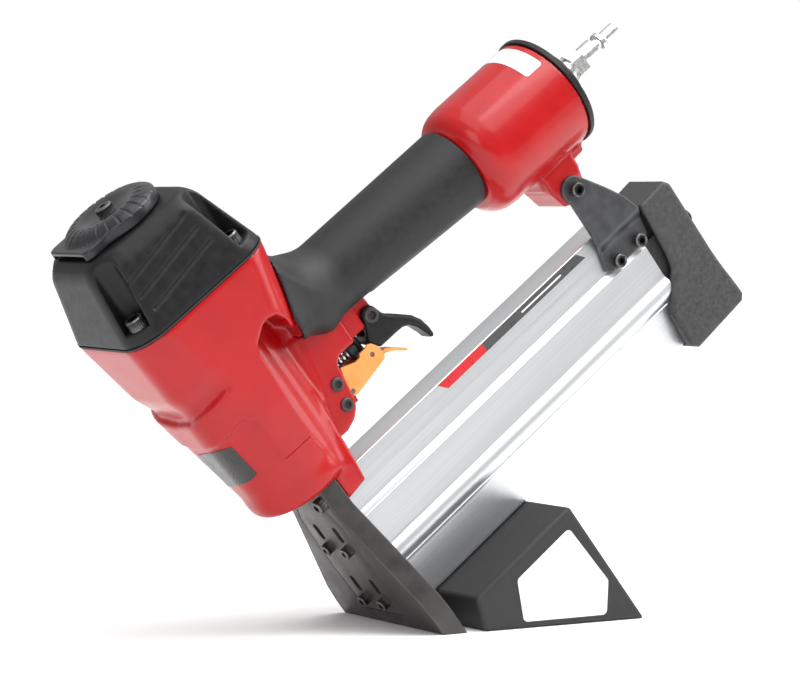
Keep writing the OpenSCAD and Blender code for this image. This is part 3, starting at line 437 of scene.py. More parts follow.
# ---- barrel casting ----
barrel = {
    "sectionHeights": [100, 106, 112, 160, 235],
    "front": [-29.5, -30.5, -31, -37.5, -46.5],
    "rear": [29.5, 30.5, 31, 40, 51],
    "halfWidth": [29.5, 30.5, 31.5, 40, 45.5],
    "corner": [29.5, 30.3, 30, 30, 20],
    "fingerRecess": 3.6,
    "panelStep": 1.3,
    "channelFloor": 31.5,
    "top": 235,
    "bottom": 102,
    "webHalf": 14,
    "bore": 28.4,
    "chamber": 30,
    "chamberFrom": 172,
    "duct": 11.5,
    "cell": 1.2,
}
webOutline = [(20, 112), (36, 111.5), (43, 114), (47.5, 118), (50, 122.5), (50.6, 127), (52.4, 140.3),
              (53.2, 144.6), (57, 147.4), (69, 147.4), (69, 172), (20, 172)]
channelOutline = [(14, 100), (13, 107), (10, 124), (8.5, 141), (7.5, 156), (7.8, 172), (8.7, 190),
                  (10.4, 195), (18.5, 201), (22.6, 202), (28.6, 200), (33, 193.5), (35, 186.5), (42.8, 179),
                  (62, 174), (62, 100)]
tongueOutline = [(78, 163), (78, 147.4), (82, 144.5), (86, 144.6), (91, 147), (93, 151), (92, 163)]
prongOutline = [(9, 86), (24, 88), (33, 160), (9, 160)]


def barrelSection(x, y, z):
    s = barrel
    heights = s["sectionHeights"]
    x0, x1 = taper(z, heights, s["front"], 5), taper(z, heights, s["rear"], 5)
    half, corner = taper(z, heights, s["halfWidth"], 5), taper(z, heights, s["corner"], 5)
    return boxDistance(x - (x0 + x1) / 2, y, (x1 - x0) / 2, half, corner)


def barrelField(x, y, z):
    s = barrel
    shell = barrelSection(x, y, z)
    around = np.degrees(np.arctan2(np.abs(y), -x))
    top = np.interp(around, [0, 28, 39, 51, 61, 67, 72], [197, 198, 199, 202, 205, 204, 199])
    ledge = np.interp(around, [0, 26, 33, 46, 56, 68, 72], [178, 180, 182, 185, 187, 189, 190])
    dip = ease((top - z) / (top - ledge), 0, 1) * (1 - ease(around, 60, 73)) * s["fingerRecess"]
    dip = dip * np.clip(1 - (ledge - z) / 3.0, 0, 1)
    arch = np.interp(around, [0, 16, 33, 48, 58, 65.4, 69.6, 71],
                     [158.5, 160.5, 161.5, 165, 168.5, 168.3, 165, 158])
    step = np.maximum(ease(arch - z, 0, 2.2) * ease((71.5 - around) * 0.65, 0, 2.2),
                      ease(134.5 - z, 0, 2.2)) * ease(z, 108, 118)
    shell = shell + dip + step * s["panelStep"]
    shell = roundMax(shell, z - s["top"], 1.5)
    shell = roundMax(shell, s["bottom"] - z, 5)
    floor = s["channelFloor"] + np.maximum(x - 20, 0) * 0.33
    channel = polygonDistance(x, z, channelOutline)
    channel = roundMax(channel, floor - np.hypot(x, y), 3)
    channel = roundMax(channel, s["webHalf"] - np.abs(y), 2)
    shell = roundMax(shell, -channel, 1.8)
    web = roundMax(polygonDistance(x, z, webOutline), np.abs(y) - s["webHalf"], 2)
    slots = np.maximum(np.maximum(np.abs(np.abs(y) - 9.05) - 1.15, np.abs(x - 54) - 4.5), z - 147.4)
    web = np.maximum(web, -slots)
    boss = np.maximum(np.abs(y) - 7.9, np.maximum(np.abs(x - 48.75) - 4.75, np.abs(z - 133) - 15))
    pivot = np.maximum(np.abs(y) - 7.9, np.hypot(x - 52.8, z - 125.2) - 3.7)
    stepPad = roundMax(boxDistance(x - 70.5, z - 160.4, 10.5, 13, 1), np.abs(y) - 9, 1)
    tongue = roundMax(polygonDistance(x, z, tongueOutline), np.abs(y) - 4, 1)
    prongs = roundMax(polygonDistance(x, z, prongOutline), np.abs(y)
                      - np.interp(z, [102, 125, 150], [24.5, 22, 13.5]), 3)
    solid = roundMin(shell, web, 2.5)
    solid = roundMin(solid, prongs, 3)
    for extra in (boss, pivot, stepPad, tongue):
        solid = np.minimum(solid, extra)
    # handle root under the grip
    root = handleSection(x, y, z) + handle["wall"]
    root = np.maximum(root, np.maximum(40 - x, x - 96))
    solid = np.minimum(solid, root)
    bore = np.maximum(np.hypot(x, y) - s["bore"], 108 - z)
    chamber = np.maximum(np.hypot(x, y) - s["chamber"], s["chamberFrom"] - z)
    duct = np.maximum(np.hypot(y, z - 180) - s["duct"], 20 - x)
    mouth = np.maximum(np.maximum(np.abs(y) - 16.8, z - 94.3), 8 - x)
    valve = np.maximum(np.hypot(x - 74.5, y) - 5.6, np.abs(z - 157) - 10)
    drive = np.maximum(np.maximum(np.abs(x) - 1.2, np.abs(y) - 4.1), z - 120)
    for hollow in (bore, chamber, duct, mouth, valve, drive):
        solid = np.maximum(solid, -hollow)
    return solid


handle = {
    "stations": [38, 40, 49, 60, 78, 184.2, 194.2],
    "middle": [200, 200, 199, 184.5, 181.6, 178.2, 178],
    "halfHeight": [27.5, 28, 30.5, 28, 22, 25, 25.3],
    "halfWidth": [36, 34.5, 30, 27.5, 22, 25, 25.3],
    "corner": [12, 13, 18, 26, 22, 25, 25.3],
    "wall": 3.0,
    "gripStart": 38.5,
    "gripEnd": 183.9,
    "skirtGap": 1.0,
    "cell": 1.1,
}


def handleSection(x, y, z):
    s = handle
    middle, high = taper(x, s["stations"], s["middle"], 5), taper(x, s["stations"], s["halfHeight"], 5)
    wide, corner = taper(x, s["stations"], s["halfWidth"], 5), taper(x, s["stations"], s["corner"], 5)
    corner = np.minimum(corner, np.minimum(high, wide))
    return boxDistance(y, z - middle, wide, high, corner)


barrelCasting = surfaceNet("barrelCasting", barrelField, (-48, -47, 85), (98, 47, 237), barrel["cell"],
                           redPaint)
fit(barrelCasting, "tool", "red_paint", "housing")

gripCut = [(20, 100), (60, 100), (97, 100), (96.5, 161.4), (75, 162.2), (66, 164), (57, 166.6), (42, 167.4),
           (20, 167.4)]


def gripField(x, y, z):
    s = handle
    outer = handleSection(x, y, z)
    shell = roundMax(outer, -(outer + s["wall"]), 0.6)
    shell = roundMax(shell, -(barrelSection(x, y, z) - s["skirtGap"]), 2.0)
    shell = roundMax(shell, np.maximum(x - s["gripEnd"], s["gripStart"] - x), 1.2)
    cut = np.maximum(polygonDistance(x, z, gripCut), np.abs(y) - 14.4)
    return roundMax(shell, -cut, 1.0)


gripSleeve = surfaceNet("gripSleeve", gripField, (36, -38, 152), (186, 38, 233), handle["cell"], gripRubber)
fit(gripSleeve, "tool", "grip_rubber", "grip_sleeve")

# ---- reservoir casting ----
reservoir = {
    "axis": 174.8,
    "stations": [174.2, 184.2, 185.2, 189.2, 193.2, 199.7, 258.2],
    "radii": [24.5, 25, 27.5, 31.8, 33.6, 34.5, 34.5],
    "radius": 34.5,
    "start": 184.0,
    "end": 257.7,
    "wall": 3.5,
    "cell": 1.1,
}
lug = {"x": 231.5, "z": 125.5, "half": 14.5, "hole": 2.7}
lugOutline = [(219.5, 142), (219.5, 131), (223, 120), (241, 122), (244.5, 134), (244.5, 142)]
lugBlock = [(219, 150), (219, 134), (255, 136), (255, 150)]


def reservoirField(x, y, z):
    s = reservoir
    out = np.hypot(y, z - s["axis"])
    body = out - taper(x, s["stations"], s["radii"], 1.5)
    body = roundMax(body, np.maximum(s["start"] - x, x - s["end"]), 1.2)
    core = np.hypot(y, z - np.interp(x, [78, 184.2], [181.6, 178.2])) - np.interp(x, [78, 184.2],
                                                                                  [18.6, 21.6])
    core = np.maximum(core, np.maximum(92 - x, x - 190.2))
    block = roundMax(polygonDistance(x, z, lugBlock), np.abs(y) - 10, 2.5)
    ear = roundMax(polygonDistance(x, z, lugOutline), np.abs(y) - lug["half"], 2)
    boss = roundMax(np.hypot(x - lug["x"], z - lug["z"]) - 8.5, np.abs(y) - lug["half"], 2)
    solid = roundMin(body, block, 5)
    solid = roundMin(solid, roundMin(ear, boss, 2.5), 2.5)
    solid = np.minimum(solid, core)
    hollow = np.maximum(out - (s["radius"] - s["wall"]), 196.2 - x)
    duct = np.hypot(y, z - 180) - 14
    duct = np.maximum(duct, x - 198)
    hole = np.hypot(x - lug["x"], z - lug["z"]) - lug["hole"]
    for empty in (hollow, duct, hole):
        solid = np.maximum(solid, -empty)
    return solid


reservoirCasting = surfaceNet("reservoirCasting", reservoirField, (90, -37, 114), (260, 37, 212),
                              reservoir["cell"], redPaint)
fit(reservoirCasting, "tool", "red_paint")
reservoirCapProfile = [(249.7, 27), (249.7, 30.9), (252.2, 30.9), (252.2, 28.3), (255.2, 28.3),
                       (255.2, 30.9), (257.7, 30.9), (257.7, 35.3), (258.1, 35.7), (260.7, 35.7),
                       (261.2, 35.2), (261.2, 24), (266.5, 22.8), (269.5, 21), (272, 15), (272.7, 13),
                       (272.7, 6.65), (256.7, 6.65), (256.7, 27), (249.7, 27)]
reservoirCap = turnedPiece("reservoirCap", reservoirCapProfile, (0, 0, reservoir["axis"]), (1, 0, 0),
                           capBlack, 96)
fit(reservoirCap, "tool", "cap_black", "reservoir_cap")
print("red castings made")

# ---- cap ----
cap = {
    "heights": [236, 276, 283],
    "front": [-46.5, -39, -33],
    "rear": [51, 39, 33],
    "halfWidth": [45.5, 38, 32],
    "corner": [20, 20, 15],
    "top": 283,
    "base": 236.1,
    "boltX": 35,
    "boltY": 34,
    "boltSeat": 243,
    "pocket": 7.4,
    "grooveDepth": 0.9,
    "cell": 0.9,
}
capGrooves = [((-27, 266), (20, 274)), ((-27, 257), (21.5, 265)), ((-25, 248), (23, 255.5))]


def segmentDistance(u, v, start, end):
    ex, ey = end[0] - start[0], end[1] - start[1]
    t = np.clip(((u - start[0]) * ex + (v - start[1]) * ey) / (ex * ex + ey * ey), 0, 1)
    return np.hypot(u - start[0] - ex * t, v - start[1] - ey * t)


def capField(x, y, z):
    s = cap
    x0, x1 = taper(z, s["heights"], s["front"], 3), taper(z, s["heights"], s["rear"], 3)
    shell = boxDistance(x - (x0 + x1) / 2, y, (x1 - x0) / 2, taper(z, s["heights"], s["halfWidth"], 3),
                        taper(z, s["heights"], s["corner"], 3))
    for start, end in capGrooves:
        shell = shell + s["grooveDepth"] * (1 - ease(segmentDistance(x, z, start, end), 0.5,
                                                     1.5)) * (np.abs(y) > 20)
    shell = roundMax(shell, z - s["top"], 4)
    shell = roundMax(shell, s["base"] - z, 1.2)
    for sx in (-s["boltX"], s["boltX"]):
        for sy in (-s["boltY"], s["boltY"]):
            size = math.hypot(sx, sy)
            dx, dy = sx / size, sy / size
            forward = (x - sx) * dx + (y - sy) * dy
            across = (y - sy) * dx - (x - sx) * dy
            well = roundMax(np.abs(across) - s["pocket"], -forward - s["pocket"], 5)
            shell = roundMax(shell, -np.maximum(well, s["boltSeat"] - z), 1.6)
    cavity = np.maximum(np.hypot(x, y) - 35, z - 268)
    ports = np.maximum(np.hypot(x, y) - 14, 5.5 - np.abs(y))
    screw = np.hypot(x, y) - 3.1
    for hollow in (cavity, ports, screw):
        shell = np.maximum(shell, -hollow)
    return shell


cylinderCap = surfaceNet("cylinderCap", capField, (-48, -47, 235), (53, 47, 285), cap["cell"], capBlack)
fit(cylinderCap, "tool", "cap_black", "cylinder_cap")

# ---- exhaust deflector ----
deflector = {
    "radius": 28.0,
    "base": 283.5,
    "pads": 24,
    "padGroove": 0.6,
    "cell": 0.6,
}


def deflectorField(x, y, z):
    s = deflector
    r = np.hypot(x, y)
    profile = taper(r, [0, 6, 12, 15, 17.5, 20, 23, 26, 28, 40],
                    [290.5, 290.5, 292.0, 292.9, 293.3, 293.4, 292.8, 291.2, 289.3, 289.3], 0.5)
    angle = np.arctan2(y, x)
    turn = 2 * math.pi / s["pads"]
    local = (angle / turn - np.round(angle / turn)) * turn * r
    ring = ease(r, 18.0, 19.5)
    profile = profile - s["padGroove"] * ring * (1 - ease(np.abs(local), 0.25, 0.8))
    body = roundMax(r - s["radius"], z - profile, 0.9)
    visor = roundMax(boxDistance(x + 16, y, 16, 23, 5), z - 289.2 - x * 0.02, 1.4)
    body = roundMin(body, visor, 2)
    body = roundMax(body, s["base"] - z, 0.8)
    under = np.maximum(r - 23, z - 287.4)
    slot = np.maximum(np.maximum(np.abs(y) - 19, x), z - 286.4)
    hole = r - 3.1
    for empty in (under, slot, hole):
        body = np.maximum(body, -empty)
    return body


exhaustDeflector = surfaceNet("exhaustDeflector", deflectorField, (-34, -30, 282.5), (30, 30, 295),
                              deflector["cell"], deflectorPlastic)
fit(exhaustDeflector, "deflector", "grey_plastic", "exhaust_deflector")
print("head made")

# ---- trigger ----
trigger = {
    "pivotX": 88.2,
    "pivotZ": 149.9,
    "hub": 5.5,
    "halfWidth": 7.5,
    "narrowing": 0.07,
    "round": 2.6,
    "cell": 0.55,
}
triggerOutline = [(trigger["pivotX"] + trigger["hub"] * math.cos(math.radians(a)),
                   trigger["pivotZ"] + trigger["hub"] * math.sin(math.radians(a)))
                  for a in range(170, 0, -20)] + [(95, 146.5), (97.6, 142.9), (102.5, 139.3),
                                                  (109.7, 132.5), (113, 127), (114.6, 120.5),
                                                  (114.7, 115.8), (113.6, 114.3), (112, 114.9),
                                                  (110.8, 118.8), (108.4, 124.8), (104.4, 129.6),
                                                  (100.5, 131.2), (96.5, 131.5), (83.6, 131.6),
                                                  (82.7, 131.9), (78.2, 137.2), (78, 138.8), (81.4, 145.4)]


def triggerField(x, y, z):
    s = trigger
    body = roundMax(polygonDistance(x, z, triggerOutline), np.abs(y) - s["halfWidth"]
                    + np.maximum(x - 98, 0) * s["narrowing"], s["round"])
    fork = np.maximum(np.maximum(np.abs(y) - 4.3, np.abs(x - 85) - 15), 141.5 - z)
    channel = np.maximum(np.maximum(np.abs(y) - 5.3, x - 96.5), z - 138.5)
    hole = np.hypot(x - s["pivotX"], z - s["pivotZ"]) - 2.6
    for empty in (fork, channel, hole):
        body = np.maximum(body, -empty)
    return body


triggerPiece = surfaceNet("triggerPiece", triggerField, (76, -9, 112), (117, 9, 157), trigger["cell"],
                          capBlack)
fit(triggerPiece, "trigger", "cap_black", "trigger")


# ---- pins through the web and the trigger ----
def pinProfile(reach, collar, head, shaft):
    half = [(reach - 0.7, 0), (reach - 0.7, head * 0.42), (reach, head * 0.52), (reach, head - 0.5),
            (reach - 0.5, head), (reach - collar, head), (reach - collar, shaft)]
    return half + [(-along, radius) for along, radius in reversed(half)]


for k, (x, z) in enumerate([(45.5, 136.4), (43.5, 123.8)]):
    pin = turnedPiece("webPin%d" % k, pinProfile(15.6, 1.6, 3.8, 2.5), (x, 0, z), (0, 1, 0), blackOxide, 48)
    fit(pin, "tool", "black_oxide", *(["web_pins"] if k == 0 else []))
triggerPin = turnedPiece("triggerPin", pinProfile(8.9, 1.2, 4.4, 2.5),
                         (trigger["pivotX"], 0, trigger["pivotZ"]), (0, 1, 0), blackOxide, 48)
fit(triggerPin, "tool", "black_oxide", "trigger_pin")

# ---- rear guard ----
guard = {"cell": 0.9, "half": 18.0, "flare": 22.4, "wall": 3.0}
guardOutline = [(239, 4.6), (241, 27), (258.3, 48.6), (260.2, 58.5), (261, 74.3), (262, 90), (283.5, 91.4),
                (286.5, 87.4), (286.5, 24), (286.5, 6.4), (283.5, 2.8), (243, 0.9)]
guardHollow = [(233, 3.8), (233, 88.2), (282.5, 88.2), (283.5, 86.5), (283.5, 7), (282, 5.6), (243, 3.8)]


def guardField(x, y, z):
    s = guard
    wide = s["half"] + (s["flare"] - s["half"]) * (1 - ease(z, 6, 44)) ** 1.5
    body = roundMax(polygonDistance(x, z, guardOutline), np.abs(y) - wide, 2.5)
    hollow = roundMax(polygonDistance(x, z, guardHollow), np.abs(y) - s["half"] + s["wall"], 1)
    ridges = np.maximum(np.hypot(np.abs(y) - 8.5, z - 38.5) - 8.3, x - 253.3)
    slot = np.maximum(np.abs(y) - 1.65, np.abs(z - 58.45) - 24.75)
    body = np.maximum(body, -hollow)
    for empty in (ridges, slot):
        body = np.maximum(body, -empty)
    return body


rearGuard = surfaceNet("rearGuard", guardField, (237, -24, -1), (288, 24, 93), guard["cell"], guardCoat)
fit(rearGuard, "tool", "guard_black", "rear_guard")

# ---- rear bracket ----
bracket = {"cell": 0.65, "thickness": 3.0, "bendLow": 82.5, "bendHigh": 91.0}
bracketUpper = [(225, 120), (225.4, 80), (261, 82), (261, 90), (257, 101), (250, 113), (240, 128)]
bracketLower = [(222.5, 73), (225.5, 70), (254, 70), (259, 73), (261, 84), (225.4, 84)]


def bracketField(x, y, z):
    s = bracket
    middle = -12.15 - 3.85 * ease(z, s["bendLow"], s["bendHigh"])
    sheet = (np.abs(y - middle) - s["thickness"] / 2) * 0.9
    shape = np.minimum(np.minimum(polygonDistance(x, z, bracketUpper), polygonDistance(x, z, bracketLower)),
                       np.hypot(x - lug["x"], z - lug["z"]) - 8.2)
    return roundMax(sheet, shape, 0.9)


rearBracket = surfaceNet("rearBracket", bracketField, (220, -19, 68), (263, -8, 136), bracket["cell"],
                         bracketCoat)
fit(rearBracket, "tool", "cap_black", "rear_bracket")
print("guard and bracket made")

# ---- magazine ----
magazine = {
    "start": 9.0,
    "end": 253.0,
    "bottom": 5.0,
    "top": 94.0,
    "half": 13.0,
    "stripHalf": 10.5,
    "hollow": [(-8.3, 48.5), (8.3, 48.5), (8.3, 91.8), (-8.3, 91.8)],
}


def arcPoints(centreU, centreV, radius, first, last, count):
    return [(centreU + radius * math.cos(math.radians(first + (last - first) * k / count)),
             centreV + radius * math.sin(math.radians(first + (last - first) * k / count)))
            for k in range(count + 1)]


def magazineProfile():
    s = magazine
    side = arcPoints(s["stripHalf"] - 1.2, s["top"] - 1.2, 1.2, 90, 0, 4)
    side += [(s["stripHalf"], 72.2), (s["stripHalf"] + 0.2, 71), (s["stripHalf"] + 0.9, 70)]
    side += arcPoints(s["half"] - 1.1, 66.6, 1.1, 60, 0, 4)
    side += [(s["half"], 47.2)]
    side += [(s["half"] + 0.15, 46.4), (s["half"] + 0.45, 45.6)]
    side += arcPoints(8.5, 38.5, 8.0, 55, -55, 14)
    side += [(s["half"] + 0.45, 31.4), (s["half"] + 0.15, 30.6), (s["half"], 29.8)]
    side += arcPoints(s["half"] - 1.4, s["bottom"] + 1.4, 1.4, 0, -90, 4)
    side += [(3.2, s["bottom"]), (3.2, 6.4), (5.5, 6.4), (5.5, 9.0)]
    return side + [(-u, v) for u, v in reversed(side)]


def extrudedTube(name, outer, inner, start, end, material):
    work = bmesh.new()
    loops = []
    for outline in (outer, inner):
        rings = []
        for x in (start, end):
            rings.append([work.verts.new(place @ Vector((x, u, v))) for u, v in outline])
        loops.append(rings)
        for k in range(len(outline)):
            n = (k + 1) % len(outline)
            work.faces.new([rings[0][k], rings[1][k], rings[1][n], rings[0][n]])
    for end in (0, 1):
        edges = []
        for rings in loops:
            ring = rings[end]
            for k in range(len(ring)):
                edges.append(work.edges.get((ring[k], ring[(k + 1) % len(ring)])))
        bmesh.ops.triangle_fill(work, use_beauty=True, use_dissolve=False, edges=edges)
    bmesh.ops.recalc_face_normals(work, faces=work.faces)
    mesh = bpy.data.meshes.new(name)
    work.to_mesh(mesh)
    work.free()
    smoothBySharpness(mesh, 25)
    return addObject(name, mesh, material)


magazineBody = extrudedTube("magazineBody", magazineProfile(), magazine["hollow"], magazine["start"],
                            magazine["end"], brushedAluminium)
fit(magazineBody, "tool", "bare_aluminium", "magazine")

# ---- nose ----
nose = {
    "front": -3.5,
    "rear": 9.0,
    "half": [(54, 12), (52, 24), (26, 84), (24.5, 102)],
    "coverHalf": [(20, 12), (24, 44), (22, 78), (16, 88), (16, 99)],
    "coverDepth": 2.3,
}


def nosePlate():
    s = nose
    work = bmesh.new()
    rings = []
    for x in (s["front"], s["rear"]):
        low = -x * math.tan(rake)
        outline = [(54, low)] + s["half"] + [(-u, v) for u, v in reversed(s["half"])] + [(-54, low)]
        rings.append([work.verts.new(place @ Vector((x, u, v))) for u, v in outline])
    work.faces.new(rings[0])
    work.faces.new(rings[1][::-1])
    for k in range(len(rings[0])):
        n = (k + 1) % len(rings[0])
        work.faces.new([rings[0][k], rings[1][k], rings[1][n], rings[0][n]])
    bmesh.ops.recalc_face_normals(work, faces=work.faces)
    mesh = bpy.data.meshes.new("noseBase")
    work.to_mesh(mesh)
    work.free()
    return addObject("noseBase", mesh, noseSteel)


def mirrored(half):
    return half + [(-u, v) for u, v in reversed(half)]


def slotCutters():
    outlines = [arcPoints(y, z, 2.6, 180, 360, 10) + arcPoints(y, z + 6, 2.6, 0, 180, 10)
                for y in (-10.5, 10.5) for z in (66.5, 28.5)]
    return [plate("slotCutter", outline, -6, 3.5, noseSteel, along="x") for outline in outlines]


noseBase = nosePlate()
addBevel(noseBase, 1.0, 3)
bake(noseBase)
seat = plate("seatCutter", mirrored([(u + 0.3, v + (0.3 if v > 50 else -0.3)) for u,
                                     v in nose["coverHalf"]]), -6, -1.2, noseSteel, along="x")
channelCutter = plate("channelCutter", [(-4.1, -30), (4.1, -30), (4.1, 130), (-4.1, 130)], -1.2, 1.2,
                      noseSteel, along="x")
noseBase = carve(noseBase, [seat, channelCutter] + slotCutters())
fit(noseBase, "tool", "black_oxide", "nose_base")
noseCover = plate("noseCover", mirrored(nose["coverHalf"]), nose["front"],
                  nose["front"] + nose["coverDepth"], noseSteel, along="x")
addBevel(noseCover, 0.35, 2)
bake(noseCover)
noseCover = carve(noseCover, slotCutters())
fit(noseCover, "tool", "black_oxide", "nose_cover")
print("nose and magazine made")

# ---- foot ----
foot = {"outline": [(24, 4.7), (101.5, 4.7), (101.5, -79.3), (17.5, -13.7)], "half": 55.0, "edge": 2.2}
footBlock = plate("footBlock", foot["outline"], -foot["half"], foot["half"], footCharcoal,
                  bevel=foot["edge"], segments=4)
fit(footBlock, "foot", "foot_charcoal", "foot")


# ---- screws ----
def screwTree():
    tree = bpy.data.node_groups.new("socketScrews", "GeometryNodeTree")
    face = tree.interface
    face.new_socket("Points", in_out="INPUT", socket_type="NodeSocketGeometry")
    for label, value in (("Head Radius", 0.004), ("Head Height", 0.005), ("Socket Radius", 0.002),
                         ("Shank Radius", 0.0025), ("Shank Length", 0.02)):
        face.new_socket(label, in_out="INPUT", socket_type="NodeSocketFloat").default_value = value
    face.new_socket("Facing", in_out="INPUT", socket_type="NodeSocketVector")
    face.new_socket("Material", in_out="INPUT", socket_type="NodeSocketMaterial")
    face.new_socket("Screws", in_out="OUTPUT", socket_type="NodeSocketGeometry")
    nodes, links = tree.nodes, tree.links
    given, result = nodes.new("NodeGroupInput"), nodes.new("NodeGroupOutput")

    def maths(operation, a, b):
        node = nodes.new("ShaderNodeMath")
        node.operation = operation
        for socket, value in zip(node.inputs, (a, b)):
            if isinstance(value, (int, float)):
                socket.default_value = value
            else:
                links.new(value, socket)
        return node.outputs[0]

    def cylinder(sides, radius, depth, middle, top=None):
        node = nodes.new("GeometryNodeMeshCone")
        node.inputs["Vertices"].default_value = sides
        links.new(radius, node.inputs["Radius Bottom"])
        links.new(top if top is not None else radius, node.inputs["Radius Top"])
        links.new(depth, node.inputs["Depth"])
        shift = nodes.new("GeometryNodeTransform")
        links.new(node.outputs["Mesh"], shift.inputs["Geometry"])
        where = nodes.new("ShaderNodeCombineXYZ")
        links.new(middle, where.inputs["Z"])
        links.new(where.outputs["Vector"], shift.inputs["Translation"])
        return shift.outputs["Geometry"]

    head, height = given.outputs["Head Radius"], given.outputs["Head Height"]
    drum = cylinder(48, head, maths("MULTIPLY", height, 0.86), maths("MULTIPLY", height, 0.0))
    rim = cylinder(48, head, maths("MULTIPLY", height, 0.14), maths("MULTIPLY", height, 0.86),
                   maths("MULTIPLY", head, 0.88))
    shank = cylinder(24, given.outputs["Shank Radius"], maths("ADD", given.outputs["Shank Length"], 0.0005),
                     maths("MULTIPLY", given.outputs["Shank Length"], -1.0))
    hexagon = cylinder(6, given.outputs["Socket Radius"], height, maths("MULTIPLY", height, 0.45))
    knurl = nodes.new("GeometryNodeSetPosition")
    count = nodes.new("GeometryNodeInputIndex")
    odd = maths("MODULO", count.outputs[0], 2)
    lift = maths("MULTIPLY", odd, -0.035)
    where = nodes.new("GeometryNodeInputPosition")
    scaled = nodes.new("ShaderNodeVectorMath")
    scaled.operation = "MULTIPLY"
    flat = nodes.new("ShaderNodeCombineXYZ")
    links.new(lift, flat.inputs["X"])
    links.new(lift, flat.inputs["Y"])
    links.new(where.outputs[0], scaled.inputs[0])
    links.new(flat.outputs[0], scaled.inputs[1])
    links.new(drum, knurl.inputs["Geometry"])
    links.new(scaled.outputs[0], knurl.inputs["Offset"])
    whole = nodes.new("GeometryNodeMeshBoolean")
    whole.operation = "UNION"
    whole.solver = "EXACT"
    for part in (knurl.outputs["Geometry"], rim, shank):
        links.new(part, whole.inputs["Mesh 2"] if "Mesh 2" in whole.inputs else whole.inputs[1])
    cut = nodes.new("GeometryNodeMeshBoolean")
    cut.operation = "DIFFERENCE"
    cut.solver = "EXACT"
    links.new(whole.outputs[0], cut.inputs[0])
    links.new(hexagon, cut.inputs[1])
    spread = nodes.new("GeometryNodeInstanceOnPoints")
    links.new(given.outputs["Points"], spread.inputs["Points"])
    links.new(cut.outputs[0], spread.inputs["Instance"])
    links.new(given.outputs["Facing"], spread.inputs["Rotation"])
    real = nodes.new("GeometryNodeRealizeInstances")
    links.new(spread.outputs[0], real.inputs[0])
    dress = nodes.new("GeometryNodeSetMaterial")
    links.new(real.outputs[0], dress.inputs["Geometry"])
    links.new(given.outputs["Material"], dress.inputs["Material"])
    links.new(dress.outputs[0], result.inputs[0])
    return tree


def socketId(tree, label):
    inputs = [item for item in tree.interface.items_tree if item.in_out == "INPUT"]
    return [item.identifier for item in inputs if item.name == label][0]


screws = screwTree()


def screwSet(name, spots, facing, head, height, socket, shank, length, material=screwSteel):
    mesh = bpy.data.meshes.new(name)
    mesh.from_pydata([place @ Vector(spot) for spot in spots], [], [])
    piece = bpy.data.objects.new(name, mesh)
    bpy.context.scene.collection.objects.link(piece)
    maker = piece.modifiers.new("screws", "NODES")
    maker.node_group = screws
    for label, value in (("Head Radius", head), ("Head Height", height), ("Socket Radius", socket),
                         ("Shank Radius", shank), ("Shank Length", length)):
        maker[socketId(screws, label)] = value * 0.001
    maker[socketId(screws, "Facing")] = facing
    maker[socketId(screws, "Material")] = material
    bake(piece, 30)
    piece.data.name = name
    print(name, len(piece.data.polygons), "faces")
    return piece


bothSides = (-1, 1)
# name, places, facing, (head radius, head height, socket radius, shank radius, shank length), replaced nodes
screwSets = [("capBolts", [(s * cap["boltX"], t * cap["boltY"], cap["boltSeat"]) for s in bothSides
                           for t in bothSides], upTurn, (5, 6, 2.9, 3, 26), ["cap_bolts"]),
             ("deflectorScrew", [(0, 0, 290.6)], upTurn, (5, 4.5, 2, 3, 18), ["deflector_screw"]),
             ("coverScrews", [(-3.5, s * 10.5, z) for s in bothSides for z in (20.5, 58.5)], frontTurn,
              (3.5, 4, 1.7, 2, 10), ["cover_screws"]), ("noseBolts",
                                                        [(-3.5, s * 20.3, 94) for s in bothSides],
                                                        frontTurn, (4.25, 5, 2.3, 2.5, 22.5),
                                                        ["nose_bolts"]),
             ("guardInnerScrews", [(262, s * 10, 38.5) for s in bothSides], rearTurn,
              (4.25, 5, 2.3, 2.5, 26), ["guard_screws"]), ("guardOuterScrews",
                                                           [(286.5, s * 10, 62.5) for s in bothSides],
                                                           rearTurn, (4.25, 2.8, 2.3, 2.5, 14), []),
             ("lugBolt", [(lug["x"], -17.5, lug["z"])], sideTurn, (4.25, 5, 2.3, 2.5, 24),
              ["bracket_bolts"]), ("stripBolts", [(232.3, -13.5, 73.5), (250.6, -13.5, 74)], sideTurn,
                                   (4.1, 4.6, 1.9, 2, 4.8), []), ]
for name, spots, facing, sizes, replaced in screwSets:
    fit(screwSet(name, spots, facing, *sizes), "tool", "black_oxide", *replaced)
print("screws made")

# ---- barrel label ----
def barrelLabelField(x, y, z):
    s = barrel
    around = np.degrees(np.arctan2(-y, -x))
    skin = barrelSection(x, y, z) + s["panelStep"]
    u = around * 0.65
    outline = [(27.6, 157), (28.4, 134.3), (21.8, 132), (-9.9, 126.7), (-8.6, 152.8), (17.9, 157.4)]
    shape = polygonDistance(u, z, outline)
    return roundMax(np.abs(skin - 0.1) - 0.3, shape, 0.3)


barrelLabel = surfaceNet("barrelLabel", barrelLabelField, (-39, -33, 124), (-22, 13, 160), 0.5, labelBlack)
fit(barrelLabel, "tool", "rubber_black")


def reservoirLabelField(x, y, z):
    s = reservoir
    down = np.degrees(np.arctan2(-y, z - s["axis"]))
    skin = np.hypot(y, z - s["axis"]) - (s["radius"] - 0.15)
    return roundMax(np.abs(skin) - 0.5, boxDistance((down - 10) * 0.602, x - 246.7, 22.9, 6.5, 1.8), 0.2)


reservoirLabel = surfaceNet("reservoirLabel", reservoirLabelField, (239, -28, 196), (255, 18, 211), 0.5,
                            labelWhite)
fit(reservoirLabel, "tool", "label_white", "reservoir_label")

